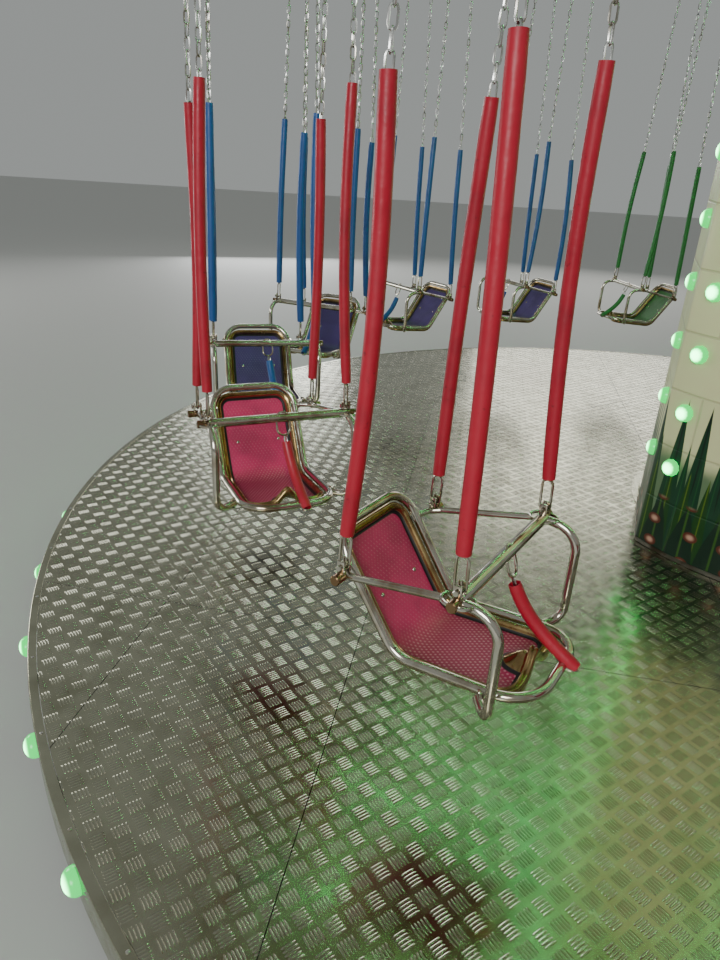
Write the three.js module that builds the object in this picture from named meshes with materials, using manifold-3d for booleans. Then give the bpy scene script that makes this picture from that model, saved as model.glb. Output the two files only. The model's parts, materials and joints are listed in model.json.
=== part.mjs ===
// A small chair swing ride: a round deck of tread plate, a clad centre column,
// a turning top with sixteen arms, and sixteen chairs hung on chains.
// Millimetres, +Z up, origin at the middle of the ride on the floor.
import * as THREE from 'three';
import { mergeVertices } from 'three/addons/utils/BufferGeometryUtils.js';
import Module from 'manifold-3d';

const wasm = await Module();
wasm.setup();

// Ride
const chairCount = 16;
const chairStep = (2 * Math.PI) / chairCount;
const pieceGap = 0.3;

// Deck
const deckTop = 300;
const deckRadius = 3475;
const deckThickness = 12;
const lipDepth = 115;
const lipThickness = 8;
const rimLampCount = 45;
const rimLampTurn = THREE.MathUtils.degToRad(3.65);
const rimLampRadius = 36;
const rimLampTip = 22;
const rimLampReach = 35;
const rimLampDrop = 60;
const deckSides = rimLampCount;
const deckTurn = rimLampTurn - Math.PI / deckSides;
const skirtRadius = 3440;
const skirtThickness = 6;
const skirtBottom = 40;
const wellRadius = 700;

// Base frame under the deck
const beamWidth = 80;
const beamTop = deckTop - deckThickness - pieceGap;
const beamBottom = 120;
const beamCount = 8;
const rimBeamRadius = 3400;
const footReach = 3150;
const footHalf = 60;

// Column
const columnTurn = THREE.MathUtils.degToRad(-124.75);
const coreRadius = 660;
const coreWall = 20;
const coreSides = 24;
const columnTop = 3180;
const bayRadius = 920;
const bayHalfAngle = THREE.MathUtils.degToRad(30);
const bayFootAngle = THREE.MathUtils.degToRad(60);
const bayWall = 25;
const bayArcSides = 12;
const bayTop = 3080;
const headRadius = 690;
const headThickness = 30;
const spindleRadius = 160;
const spindleTop = 3290;

// Turning top
const bearingGap = 0.5;
const hubBottom = columnTop + headThickness + bearingGap;
const hubRadius = 700;
const hubTop = 3520;
const hubWall = 30;
const hubSides = 24;
const armWidth = 70;
const armBottom = 3370;
const armTop = 3480;
const boardInnerRadius = 2925;
const boardThickness = 24;
const boardBottom = 3320;
const boardTop = 3800;
const soffitThickness = 8;
const soffitInnerRadius = hubRadius + 20;
const canopyInnerRadius = 430;
const canopyEdge = boardTop + pieceGap;
const canopyPeak = 4470;
const canopyThickness = 10;
const crownRadius = 400;
const crownTop = 4860;
const finialRadius = 110;

// Hanging of the chairs
const hangRadius = 2625;
const pinHeight = 3250;
const pinRadius = 11;
const cheekGap = 46;
const cheekThickness = 10;
const cheekWidth = 70;
const cheekBottom = pinHeight - 32;
const eyeInner = 12;
const eyeOuter = 27;
const eyeWidth = 30;
const eyeAngles = [1, 2, 3, 4, 5].map((k) => (k * Math.PI) / 3);
const neckHalf = 12;

// How far each chair hangs twisted on its chains, in degrees counterclockwise seen from above.
const hangTwists = [-6, 8, -3, 5, 10, 4, -10, 2, 17, 3, 14, -9, 4, -7, 9, 2];

// Chair, in its own frame: x outwards, y forwards, z up, from the armrest plane
const armrestHeight = deckTop + 700;
const pinAboveArmrest = pinHeight - armrestHeight;
const frontHalfWidth = 233;
const rearHalfWidth = 212;
const frontReach = 140;
const rearReach = 149;
const cornerRise = 32;
const tubeRadius = 12;
const tubeSides = 5;
const loopHalfWidth = 153;
const sideBarRadius = 9;
const lapBarRadius = 15;
const lapBarPast = 14;
const chainRadius = 6;
const sleeveRadius = 17;
const sleeveBottom = 105;
const sleeveLength = 865;
const spreaderDrop = 120;
const spreaderHalfWidth = 200;
const spreaderHalfDepth = 75;
const spreaderBar = 24;
const strapRadius = 16;
const strapFoot = -38;
const seatHalfWidth = 142;
const seatWall = 10;
const seatRim = 22;
const saddleRise = 45;

const steel = new THREE.MeshStandardMaterial({ color: 0xb8b8b0, roughness: 0.3, metalness: 0.9 });
const paintedSteel = new THREE.MeshStandardMaterial({ color: 0x8a8d90, roughness: 0.6, metalness: 0.2 });
const treadPlate = new THREE.MeshStandardMaterial({ color: 0x77755f, roughness: 0.45, metalness: 0.8 });
const cream = new THREE.MeshStandardMaterial({ color: 0xbeb98c, roughness: 0.6, metalness: 0 });
const bluePaint = new THREE.MeshStandardMaterial({ color: 0x1f4f9c, roughness: 0.4, metalness: 0 });
const yellowPaint = new THREE.MeshStandardMaterial({ color: 0xd9a728, roughness: 0.4, metalness: 0 });
const seatColours = [0x235f23, 0x3c2d5f, 0xbe3260, 0xc98a1c];
const chairsPerColour = 4;

// A closed solid from a three.js geometry, placed by an optional matrix.
function solid(geometry, matrix = null) {
  const bare = geometry.index ? geometry.toNonIndexed() : geometry.clone();
  bare.deleteAttribute('normal');
  bare.deleteAttribute('uv');
  if (matrix) bare.applyMatrix4(matrix);
  const merged = mergeVertices(bare, 1e-3);
  const mesh = new wasm.Mesh({
    numProp: 3,
    vertProperties: new Float32Array(merged.attributes.position.array),
    triVerts: new Uint32Array(merged.index.array),
  });
  mesh.merge();
  return new wasm.Manifold(mesh);
}

function join(solids) {
  return solids.slice(1).reduce((whole, piece) => whole.add(piece), solids[0]);
}

function geometryOf(body) {
  const mesh = body.getMesh();
  const geometry = new THREE.BufferGeometry();
  geometry.setAttribute('position', new THREE.BufferAttribute(new Float32Array(mesh.vertProperties), 3));
  geometry.setIndex(new THREE.BufferAttribute(new Uint32Array(mesh.triVerts), 1));
  geometry.computeVertexNormals();
  return geometry;
}

function vector(x, y, z) {
  return new THREE.Vector3(x, y, z);
}

// A box between two opposite corners.
function block(low, high) {
  const geometry = new THREE.BoxGeometry(high[0] - low[0], high[1] - low[1], high[2] - low[2]);
  const middle = low.map((value, axis) => (value + high[axis]) / 2);
  return solid(geometry, new THREE.Matrix4().makeTranslation(...middle));
}

// A round bar of few sides between two points.
function bar(start, end, radius, sides) {
  const along = end.clone().sub(start);
  const geometry = new THREE.CylinderGeometry(radius, radius, along.length(), sides);
  const turn = new THREE.Quaternion().setFromUnitVectors(vector(0, 1, 0), along.clone().normalize());
  const middle = start.clone().add(end).multiplyScalar(0.5);
  return solid(geometry, new THREE.Matrix4().compose(middle, turn, vector(1, 1, 1)));
}

// A path whose stations are the given points, so a tube bends only where it has to.
class BentPath extends THREE.Curve {
  constructor(points) {
    super();
    this.points = points;
  }

  getPoint(t, target = new THREE.Vector3()) {
    const place = t * (this.points.length - 1);
    const index = Math.min(Math.floor(place), this.points.length - 2);
    return target.lerpVectors(this.points[index], this.points[index + 1], place - index);
  }

  getPointAt(u, target) {
    return this.getPoint(u, target);
  }

  getTangentAt(u, target = new THREE.Vector3()) {
    const last = this.points.length - 1;
    const index = Math.round(u * last);
    const before = this.points[Math.max(index - 1, 0)];
    const after = this.points[Math.min(index + 1, last)];
    return target.subVectors(after, before).normalize();
  }
}

function circleShape(radius, sides) {
  const corners = Array.from({ length: sides }, (_, k) => {
    const angle = (2 * Math.PI * k) / sides;
    return new THREE.Vector2(radius * Math.cos(angle), radius * Math.sin(angle));
  });
  return new THREE.Shape(corners);
}

function bentTube(points, radius, sides) {
  const path = new BentPath(points);
  const options = { steps: points.length - 1, extrudePath: path, curveSegments: 1 };
  return solid(new THREE.ExtrudeGeometry(circleShape(radius, sides), options));
}

function mirrored(body) {
  return body.mirror([1, 0, 0]);
}

// An upright ring, with straight sides between its corners.
function ring(inner, outer, bottom, top, sides, turn = 0) {
  const shape = circleShape(outer, sides);
  if (inner > 0) shape.holes.push(new THREE.Path(circleShape(inner, sides).getPoints()));
  const geometry = new THREE.ExtrudeGeometry(shape, { depth: top - bottom, bevelEnabled: false });
  const matrix = new THREE.Matrix4().makeRotationZ(turn);
  matrix.setPosition(0, 0, bottom);
  return solid(geometry, matrix);
}

// A body of revolution about the vertical axis from [radius, height] pairs.
function turned(profile, sides, turn = 0) {
  const points = profile.map(([radius, height]) => new THREE.Vector2(radius, height));
  const geometry = new THREE.LatheGeometry(points, sides);
  const upright = new THREE.Matrix4().makeRotationX(Math.PI / 2);
  return solid(geometry, new THREE.Matrix4().makeRotationZ(turn).multiply(upright));
}

function around(body, angle) {
  return body.rotate([0, 0, THREE.MathUtils.radToDeg(angle)]);
}

const ride = new THREE.Group();

function addNode(name, body, material, parent = ride) {
  const mesh = new THREE.Mesh(geometryOf(body), material);
  mesh.name = name;
  parent.add(mesh);
  return mesh;
}

// Base frame: radial beams between a hub ring and a rim beam, on square feet.
function makeBaseFrame() {
  const foot = block([footReach - footHalf, -footHalf, 0], [footReach + footHalf, footHalf, beamBottom + 10]);
  const pieces = [
    ring(wellRadius, wellRadius + 80, beamBottom, beamTop, beamCount * 2),
    ring(rimBeamRadius - beamWidth, rimBeamRadius, beamBottom, beamTop, beamCount * 2),
  ];
  for (let k = 0; k < beamCount; k += 1) {
    const angle = (2 * Math.PI * k) / beamCount;
    const beam = block(
      [wellRadius + 20, -beamWidth / 2, beamBottom],
      [rimBeamRadius - beamWidth / 2, beamWidth / 2, beamTop],
    );
    pieces.push(around(join([beam, foot]), angle));
  }
  return join(pieces);
}

// A lamp cap, standing out from the middle of one side of the deck's lip.
function makeRimLamp() {
  const seat = deckRadius * Math.cos(Math.PI / deckSides) - 2;
  const length = rimLampReach + 2;
  const cap = new THREE.CylinderGeometry(rimLampTip, rimLampRadius, length, 6);
  const matrix = new THREE.Matrix4().makeRotationZ(-Math.PI / 2);
  matrix.setPosition(seat + length / 2, 0, deckTop - rimLampDrop);
  return around(solid(cap, matrix), rimLampTurn);
}

// Deck: plate with a folded lip all round, and the lamps on the lip.
function makeDeck() {
  const under = deckTop - deckThickness;
  const inside = deckRadius - lipThickness;
  const profile = [
    [wellRadius, under], [inside, under], [inside, deckTop - lipDepth], [deckRadius, deckTop - lipDepth],
    [deckRadius, deckTop], [wellRadius, deckTop], [wellRadius, under],
  ];
  const lamp = makeRimLamp();
  const step = (2 * Math.PI) / rimLampCount;
  const lamps = Array.from({ length: rimLampCount }, (_, k) => around(lamp, k * step));
  return join([turned(profile, deckSides, deckTurn), ...lamps]);
}

function makeSkirt() {
  return ring(skirtRadius - skirtThickness, skirtRadius, skirtBottom, beamTop, deckSides, deckTurn);
}

// Column: a round core with a head plate and spindle, and two rounded bays.
function makeCore() {
  const tube = ring(coreRadius - coreWall, coreRadius, 0, columnTop, coreSides);
  const head = ring(0, headRadius, columnTop - 1, columnTop + headThickness, coreSides);
  const spindle = ring(0, spindleRadius, columnTop, spindleTop, 16);
  return join([tube, head, spindle]);
}

// A bay: a round front between two straight flanks, which run back to the core and end on its corners.
function makeBay() {
  const at = (radius, angle) => new THREE.Vector2(radius * Math.cos(angle), radius * Math.sin(angle));
  const foot = coreRadius + pieceGap + 0.2;
  const arc = (radius, half) => Array.from({ length: bayArcSides + 1 }, (_, k) =>
    at(radius, half * ((2 * k) / bayArcSides - 1)));
  const outer = [
    at(foot + bayWall, -bayFootAngle), ...arc(bayRadius, bayHalfAngle), at(foot + bayWall, bayFootAngle),
  ];
  const innerHalf = bayHalfAngle - bayWall / bayRadius / 2;
  const inner = [at(foot, bayFootAngle), ...arc(bayRadius - bayWall, -innerHalf), at(foot, -bayFootAngle)];
  const shape = new THREE.Shape([...outer, ...inner]);
  const bottom = deckTop + pieceGap;
  const geometry = new THREE.ExtrudeGeometry(shape, { depth: bayTop - bottom, bevelEnabled: false });
  return solid(geometry, new THREE.Matrix4().makeTranslation(0, 0, bottom));
}

// Turning top: hub drum with its arms, each arm with a bracket and a pin for one chair.
function makeHub() {
  const wall = ring(hubRadius - hubWall, hubRadius, hubBottom, hubTop, hubSides);
  const bore = spindleRadius / Math.cos(Math.PI / hubSides) + pieceGap;
  const floor = ring(bore, hubRadius - 1, hubBottom, hubBottom + hubWall, hubSides);
  return wall.add(floor);
}

// An arm ends just inside the boards; its bracket is a channel, open below.
function makeArm() {
  const reach = boardInnerRadius - pieceGap;
  const beam = block([hubRadius - 15, -armWidth / 2, armBottom], [reach, armWidth / 2, armTop]);
  const inside = cheekGap / 2;
  const outside = inside + cheekThickness;
  const top = armBottom + 5;
  const web = armBottom - cheekThickness;
  const outline = [
    [-outside, cheekBottom], [-inside, cheekBottom], [-inside, web], [inside, web],
    [inside, cheekBottom], [outside, cheekBottom], [outside, top], [-outside, top],
  ].map(([y, z]) => new THREE.Vector2(y, z));
  const section = new THREE.Shape(outline);
  const channel = new THREE.ExtrudeGeometry(section, { depth: cheekWidth, bevelEnabled: false });
  const stand = new THREE.Matrix4().makeBasis(vector(0, 1, 0), vector(0, 0, 1), vector(1, 0, 0));
  stand.setPosition(hangRadius - cheekWidth / 2, 0, 0);
  const pinReach = (inside + outside) / 2;
  const pinStart = vector(hangRadius, -pinReach, pinHeight);
  const pin = bar(pinStart, vector(hangRadius, pinReach, pinHeight), pinRadius, 6);
  return join([beam, solid(channel, stand), pin]);
}

function makeSweep() {
  const arm = makeArm();
  const arms = Array.from({ length: chairCount }, (_, k) => around(arm, k * chairStep));
  return join([makeHub(), ...arms]);
}

// The boards stand as sixteen flat faces, their corners between the arms.
function flatRing(inner, outer, bottom, top) {
  const stretch = 1 / Math.cos(chairStep / 2);
  return ring(inner * stretch, outer * stretch, bottom, top, chairCount, chairStep / 2);
}

function makeBoards() {
  return flatRing(boardInnerRadius, boardInnerRadius + boardThickness, boardBottom, boardTop);
}

function makeSoffit() {
  const stretch = 1 / Math.cos(chairStep / 2);
  const bottom = armTop + pieceGap;
  const outer = (boardInnerRadius - pieceGap) * stretch;
  const plate = ring(0, outer, bottom, bottom + soffitThickness, chairCount, chairStep / 2);
  return plate.subtract(ring(0, soffitInnerRadius, bottom - 5, bottom + soffitThickness + 5, hubSides));
}

function makeCanopy() {
  const stretch = 1 / Math.cos(chairStep / 2);
  const edge = (boardInnerRadius + boardThickness + 16) * stretch;
  const profile = [
    [canopyInnerRadius, canopyPeak],
    [edge, canopyEdge + canopyThickness + 20],
    [edge, canopyEdge],
    [edge - 60, canopyEdge],
    [canopyInnerRadius, canopyPeak - canopyThickness],
    [canopyInnerRadius, canopyPeak],
  ];
  return turned(profile.reverse(), chairCount, chairStep / 2);
}

function makeCrown() {
  const drumBottom = hubTop + pieceGap;
  const profile = [
    [0, drumBottom], [hubRadius - 5, drumBottom], [hubRadius - 5, drumBottom + 20],
    [crownRadius, drumBottom + 20], [crownRadius, crownTop - 60], [crownRadius - 60, crownTop],
    [60, crownTop + 60], [finialRadius, crownTop + 150], [finialRadius, crownTop + 210],
    [40, crownTop + 290], [0, crownTop + 300],
  ];
  return turned(profile, 12);
}

// Chair frame: tube loop, front legs, lap bar, side bars, chains with sleeves and the hanger.
const loopTop = [-217, 33];
const loopFront = [303, -210];
// The half loop runs a little past the middle and is cut there, so that both halves meet in one plane.
const loopPath = [
  vector(-5, ...loopTop), vector(75, ...loopTop), vector(130, -204, 14), vector(loopHalfWidth, -172, -33),
  vector(loopHalfWidth, -57, -201), vector(loopHalfWidth, 10, -233), vector(loopHalfWidth, 206, -217),
  vector(125, 275, -212), vector(58, ...loopFront), vector(-5, ...loopFront),
];
const legPath = [
  vector(frontHalfWidth, frontReach, cornerRise), vector(frontHalfWidth, 203, 18),
  vector(frontHalfWidth, 234, -36), vector(227, 231, -216), vector(165, 184, -233),
];
const strapPath = [vector(-10, frontReach, cornerRise), vector(-26, 200, -104), vector(strapFoot, ...loopFront)];

// Both lists run front outer, front inner, rear outer, rear inner.
function corners() {
  return [
    vector(frontHalfWidth, frontReach, cornerRise), vector(-frontHalfWidth, frontReach, cornerRise),
    vector(rearHalfWidth, -rearReach, -cornerRise), vector(-rearHalfWidth, -rearReach, -cornerRise),
  ];
}

function chainTops() {
  const height = pinAboveArmrest - spreaderDrop;
  const wide = spreaderHalfWidth;
  const deep = spreaderHalfDepth;
  return [
    vector(wide, deep, height), vector(-wide, deep, height),
    vector(wide, -deep, height), vector(-wide, -deep, height),
  ];
}

// One chain with its sleeve, as a turned bar stood between two points.
function chain(start, end) {
  const along = end.clone().sub(start);
  const length = along.length();
  const top = sleeveBottom + sleeveLength;
  const profile = [
    [0, 0], [chainRadius, 0], [chainRadius, sleeveBottom], [sleeveRadius, sleeveBottom],
    [sleeveRadius, top], [chainRadius, top], [chainRadius, length], [0, length],
  ];
  const points = profile.map(([radius, height]) => new THREE.Vector2(radius, height));
  const turn = new THREE.Quaternion().setFromUnitVectors(vector(0, 1, 0), along.normalize());
  return solid(new THREE.LatheGeometry(points, 5), new THREE.Matrix4().compose(start, turn, vector(1, 1, 1)));
}

// Spreader of the four chains, shaped like an H lying flat.
function makeSpreader() {
  const half = spreaderBar / 2;
  const wide = spreaderHalfWidth;
  const deep = spreaderHalfDepth + half;
  const plan = [
    [-wide - half, -deep], [-wide + half, -deep], [-wide + half, -half], [wide - half, -half],
    [wide - half, -deep], [wide + half, -deep], [wide + half, deep], [wide - half, deep],
    [wide - half, half], [-wide + half, half], [-wide + half, deep], [-wide - half, deep],
  ].map(([x, y]) => new THREE.Vector2(x, y));
  const flat = new THREE.Shape(plan);
  const bars = new THREE.ExtrudeGeometry(flat, { depth: spreaderBar, bevelEnabled: false });
  return solid(bars, new THREE.Matrix4().makeTranslation(0, 0, pinAboveArmrest - spreaderDrop - half));
}

// Neck and eye, which stand on the spreader and turn on the arm's pin.
function makeEye() {
  const foot = pinAboveArmrest - spreaderDrop;
  const eye = new THREE.Shape();
  eye.moveTo(-neckHalf, foot);
  eye.lineTo(neckHalf, foot);
  eyeAngles.forEach((angle) => {
    eye.lineTo(eyeOuter * Math.sin(angle), pinAboveArmrest - eyeOuter * Math.cos(angle));
  });
  const hole = circleShape(eyeInner / Math.cos(Math.PI / 6), 6).getPoints();
  eye.holes.push(new THREE.Path(hole.map((point) => point.add(new THREE.Vector2(0, pinAboveArmrest)))));
  const plate = new THREE.ExtrudeGeometry(eye, { depth: eyeWidth, bevelEnabled: false });
  const stand = new THREE.Matrix4().makeRotationX(Math.PI / 2);
  stand.setPosition(0, eyeWidth / 2, 0);
  return solid(plate, stand);
}

// All of a chair's frame that hangs below the neck.
function makeHangingFrame() {
  const halfLoop = bentTube(loopPath, tubeRadius, tubeSides).trimByPlane([1, 0, 0], 0);
  const leg = bentTube(legPath, tubeRadius, 5);
  const pieces = [halfLoop, mirrored(halfLoop), leg, mirrored(leg), makeSpreader()];
  const tops = chainTops();
  corners().forEach((corner, k) => pieces.push(chain(corner, tops[k])));
  const [frontOut, frontIn, rearOut] = corners();
  const past = vector(lapBarPast, 0, 0);
  pieces.push(bar(frontIn.clone().sub(past), frontOut.clone().add(past), lapBarRadius, 6));
  const beforeCorner = rearOut.clone().add(vector(0.5, 6, 1.5));
  const pastCorner = rearOut.clone().add(vector(-7, -4, 0));
  const onLoop = vector(loopHalfWidth, -172, -33);
  const side = bentTube([frontOut, beforeCorner, pastCorner, onLoop], sideBarRadius, 5);
  pieces.push(side, mirrored(side), bentTube(strapPath, strapRadius, 4));
  return join(pieces);
}

// Seat: a moulded shell in the tube loop, with a raised rim and a saddle at the front.
// Each row is [y, z, half width] of its middle line, from the top of the back to the front edge.
const seatRows = [
  [-226, 9, seatHalfWidth - 58], [-211, -14, seatHalfWidth - 18], [-150, -102, seatHalfWidth],
  [-68, -223, seatHalfWidth], [-39, -248, seatHalfWidth], [0, -255, seatHalfWidth],
  [126, -246, seatHalfWidth], [254, -236, seatHalfWidth - 30],
];

function makeSeat() {
  const across = [-1, -0.78, 0, 0.78, 1];
  const last = seatRows.length - 1;
  const normals = seatRows.map((_, k) => {
    const before = seatRows[Math.max(k - 1, 0)];
    const after = seatRows[Math.min(k + 1, last)];
    const run = new THREE.Vector2(after[0] - before[0], after[1] - before[1]).normalize();
    return new THREE.Vector2(-run.y, run.x);
  });
  const layer = (depth) => seatRows.flatMap(([y, z, half], k) => across.map((share) => {
    const rise = Math.abs(share) === 1 ? seatRim : 0;
    const saddle = k === last && share === 0 ? saddleRise : 0;
    const lift = rise + saddle - depth;
    return [share * half, y + normals[k].x * lift, z + normals[k].y * lift];
  }));
  const points = [...layer(0), ...layer(seatWall)];
  const width = across.length;
  const offset = seatRows.length * width;
  const index = [];
  const quad = (a, b, c, d) => index.push(a, c, b, a, d, c);
  for (let k = 0; k < last; k += 1) {
    for (let j = 0; j < width - 1; j += 1) {
      const a = k * width + j;
      quad(a, a + width, a + width + 1, a + 1);
      quad(a + offset, a + 1 + offset, a + width + 1 + offset, a + width + offset);
    }
    const left = k * width;
    const right = left + width - 1;
    quad(left, left + offset, left + width + offset, left + width);
    quad(right, right + width, right + width + offset, right + offset);
  }
  for (let j = 0; j < width - 1; j += 1) {
    const end = last * width + j;
    quad(j, j + 1, j + 1 + offset, j + offset);
    quad(end, end + offset, end + 1 + offset, end + 1);
  }
  const geometry = new THREE.BufferGeometry();
  geometry.setAttribute('position', new THREE.Float32BufferAttribute(points.flat(), 3));
  geometry.setIndex(index);
  return solid(geometry);
}

addNode('base_frame', makeBaseFrame(), paintedSteel);
addNode('deck_plate', makeDeck(), treadPlate);
addNode('deck_skirt', makeSkirt(), paintedSteel);

const column = new THREE.Group();
column.rotation.z = columnTurn;
ride.add(column);
addNode('column_core', makeCore(), cream, column);
addNode('column_bay_front', makeBay(), cream, column);
addNode('column_bay_back', around(makeBay(), Math.PI), cream, column);

addNode('sweep', makeSweep(), bluePaint);
addNode('rounding_boards', makeBoards(), yellowPaint);
addNode('soffit', makeSoffit(), bluePaint);
addNode('canopy', makeCanopy(), yellowPaint);
addNode('crown', makeCrown(), bluePaint);

const eyeBody = makeEye();
const hangingBody = makeHangingFrame();
const seatBody = makeSeat();
for (let k = 0; k < chairCount; k += 1) {
  const number = String(k + 1).padStart(2, '0');
  const place = new THREE.Group();
  const angle = k * chairStep;
  place.position.set(hangRadius * Math.cos(angle), hangRadius * Math.sin(angle), armrestHeight);
  place.rotation.z = angle;
  ride.add(place);
  const twist = THREE.MathUtils.degToRad(hangTwists[k]);
  const colour = seatColours[Math.floor(((k + chairCount - 1) % chairCount) / chairsPerColour)];
  const plastic = new THREE.MeshStandardMaterial({ color: colour, roughness: 0.5, metalness: 0 });
  addNode(`chair_${number}_frame`, eyeBody.add(around(hangingBody, twist)), steel, place);
  addNode(`chair_${number}_seat`, around(seatBody, twist), plastic, place);
}

export default ride;
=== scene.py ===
# %% [markdown]
# # A chair swing ride
#
# A small fairground ride: a round deck of tread plate, a clad column in its middle, a turning top, and
# sixteen chairs on chains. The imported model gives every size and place. This script builds the fine
# surfaces around it, all in metres, with +Z up and the origin at the middle of the ride on the floor.

# %% The frame
import json
import math

import bpy
import numpy as np
from mathutils import Matrix, Vector

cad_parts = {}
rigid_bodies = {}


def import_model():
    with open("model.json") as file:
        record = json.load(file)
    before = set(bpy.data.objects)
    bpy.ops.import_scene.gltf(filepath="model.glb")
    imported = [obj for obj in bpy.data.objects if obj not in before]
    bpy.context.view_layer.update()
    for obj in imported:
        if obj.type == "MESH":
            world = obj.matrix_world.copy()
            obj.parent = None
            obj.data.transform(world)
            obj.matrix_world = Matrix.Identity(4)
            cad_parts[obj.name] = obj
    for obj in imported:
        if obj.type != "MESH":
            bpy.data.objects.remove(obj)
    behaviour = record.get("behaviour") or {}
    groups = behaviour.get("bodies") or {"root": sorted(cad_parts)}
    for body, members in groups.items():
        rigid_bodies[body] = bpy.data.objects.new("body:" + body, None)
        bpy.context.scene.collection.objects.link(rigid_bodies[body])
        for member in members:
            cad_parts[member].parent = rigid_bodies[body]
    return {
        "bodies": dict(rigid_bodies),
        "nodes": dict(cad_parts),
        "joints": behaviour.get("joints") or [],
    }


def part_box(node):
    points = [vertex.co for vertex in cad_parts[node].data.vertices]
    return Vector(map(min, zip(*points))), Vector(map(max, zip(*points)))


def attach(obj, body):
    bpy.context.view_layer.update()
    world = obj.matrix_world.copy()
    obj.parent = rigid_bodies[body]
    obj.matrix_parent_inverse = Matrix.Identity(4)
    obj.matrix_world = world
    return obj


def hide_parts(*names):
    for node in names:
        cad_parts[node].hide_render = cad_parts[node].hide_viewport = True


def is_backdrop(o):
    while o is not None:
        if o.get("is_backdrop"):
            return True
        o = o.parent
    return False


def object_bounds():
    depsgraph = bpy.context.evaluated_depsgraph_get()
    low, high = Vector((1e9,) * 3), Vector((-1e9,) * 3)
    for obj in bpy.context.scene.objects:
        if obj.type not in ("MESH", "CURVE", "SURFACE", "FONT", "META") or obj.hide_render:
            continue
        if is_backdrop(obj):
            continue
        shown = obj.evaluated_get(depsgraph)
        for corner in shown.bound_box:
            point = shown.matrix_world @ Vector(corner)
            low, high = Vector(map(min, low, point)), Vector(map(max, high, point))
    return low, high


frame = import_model()
cad_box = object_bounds()
pins = {joint["child"]: joint["pos_m"] for joint in frame["joints"]}
CHAIRS = sorted(body for body in frame["bodies"] if body.startswith("chair_"))
STEP = 2 * math.pi / len(CHAIRS)
print("chairs:", len(CHAIRS), "box:", [round(x, 3) for corner in cad_box for x in corner])

# %% [markdown]
# ## Driving sizes
#
# A few heights and radii that every chair shares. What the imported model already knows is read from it, so
# that a piece always sits on the solid that carries it.

# %% Driving sizes
SHEET_AND_GAP = 0.0123
HANG_RADIUS = pins[CHAIRS[0]][0]
PIN_HEIGHT = pins[CHAIRS[0]][2]
DECK_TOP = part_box("base_frame")[1].z + SHEET_AND_GAP
ARMREST = DECK_TOP + 0.700
print("deck top", round(DECK_TOP, 4), "armrest", round(ARMREST, 4), "pin", PIN_HEIGHT)

# %% [markdown]
# ## The camera
#
# The photograph was taken from beside the deck, about chest height above it, looking down and slightly
# rolled. The three turns and the focal length come from fitting the deck's rim and the chairs' corners.
# A camera looks along its own -Z, so its matrix holds right, up and backwards as columns.

# %% Camera
PHOTO_HEIGHT_PIXELS = 960
FOCAL_PIXELS = 708
SENSOR = 36.0
YAW = math.radians(-1.458)
PITCH = math.radians(24.106)
ROLL = math.radians(3.417)
EYE = Vector((-2.034, -3.312, DECK_TOP + 1.507))

look = Vector((math.sin(YAW) * math.cos(PITCH), math.cos(YAW) * math.cos(PITCH), -math.sin(PITCH)))
level = Vector((math.cos(YAW), -math.sin(YAW), 0))
upwards = level.cross(look)
right = math.cos(ROLL) * level + math.sin(ROLL) * upwards
up = math.cos(ROLL) * upwards - math.sin(ROLL) * level
camera = bpy.data.objects.new("camera", bpy.data.cameras.new("camera"))
bpy.context.scene.collection.objects.link(camera)
camera.matrix_world = Matrix.Translation(EYE) @ Matrix((right, up, -look)).transposed().to_4x4()
camera.data.sensor_width = SENSOR
camera.data.lens = FOCAL_PIXELS / PHOTO_HEIGHT_PIXELS * SENSOR
bpy.context.scene.camera = camera
print("camera at", [round(x, 3) for x in EYE], "lens", round(camera.data.lens, 2))

# %% [markdown]
# ## Shapes as arrays
#
# A shape here is a pair: an array of points, and a list of arrays of faces, one for each number of
# corners. Nearly every surface is a stack of rings, so the first helper makes the faces between rings.
# Whole arrays are worked out at once, which stays fast with thousands of chain links.

# %% Rings and lofts
def ring_faces(rows, columns, closed_rows=False, closed_columns=True):
    """Faces of a grid of points: each face joins a point, its neighbour in the row, and the two above."""
    row = np.arange(rows if closed_rows else rows - 1)[:, None]
    column = np.arange(columns if closed_columns else columns - 1)[None, :]
    beside = (column + 1) % columns
    above = (row + 1) % rows
    corners = [row * columns + column, row * columns + beside,
               above * columns + beside, above * columns + column]
    return np.stack(np.broadcast_arrays(*corners), -1).reshape(-1, 4)


def loft(rings, closed=False):
    """A closed shape through rings of points, with a flat cap at each end unless the rings close up."""
    rows, columns = rings.shape[:2]
    faces = [ring_faces(rows, columns, closed_rows=closed)]
    if not closed:
        around = np.arange(columns)
        faces.append(np.stack([around[::-1], around + (rows - 1) * columns]))
    return rings.reshape(-1, 3), faces


def gathered(shapes):
    """Many shapes as one: each shape's face numbers move up by the count of points before it."""
    starts = np.cumsum([0] + [len(points) for points, _ in shapes])
    faces = [face + start for (_, group), start in zip(shapes, starts) for face in group]
    return np.concatenate([points for points, _ in shapes]), faces


# %% [markdown]
# ## Copies, turns and welds
#
# Rides repeat their parts: sixteen chairs, over two thousand links, hundreds of lamps. One shape and a
# list of turns and places give them all in one array sum. Where a surface closes to a point or an edge,
# its doubled points are welded, so that no seam is left open.

# %% Copies, turns and welds
def copies(shape, turns, places):
    """Many copies of one shape: copy k's points are turns[k] times the shape's points, plus places[k]."""
    points, faces = shape
    turns = np.asarray(turns, float)
    places = np.asarray(places, float)
    moved = np.einsum("kij,nj->kni", turns, points) + places[:, None]
    starts = (np.arange(len(places)) * len(points))[:, None, None]
    return moved.reshape(-1, 3), [(face + starts).reshape(-1, face.shape[1]) for face in faces]


def moved(shape, place=(0, 0, 0), turn=None):
    """The shape turned by a 3 x 3 matrix and then moved."""
    turn = np.eye(3) if turn is None else turn
    return copies(shape, [turn], [place])


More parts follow.
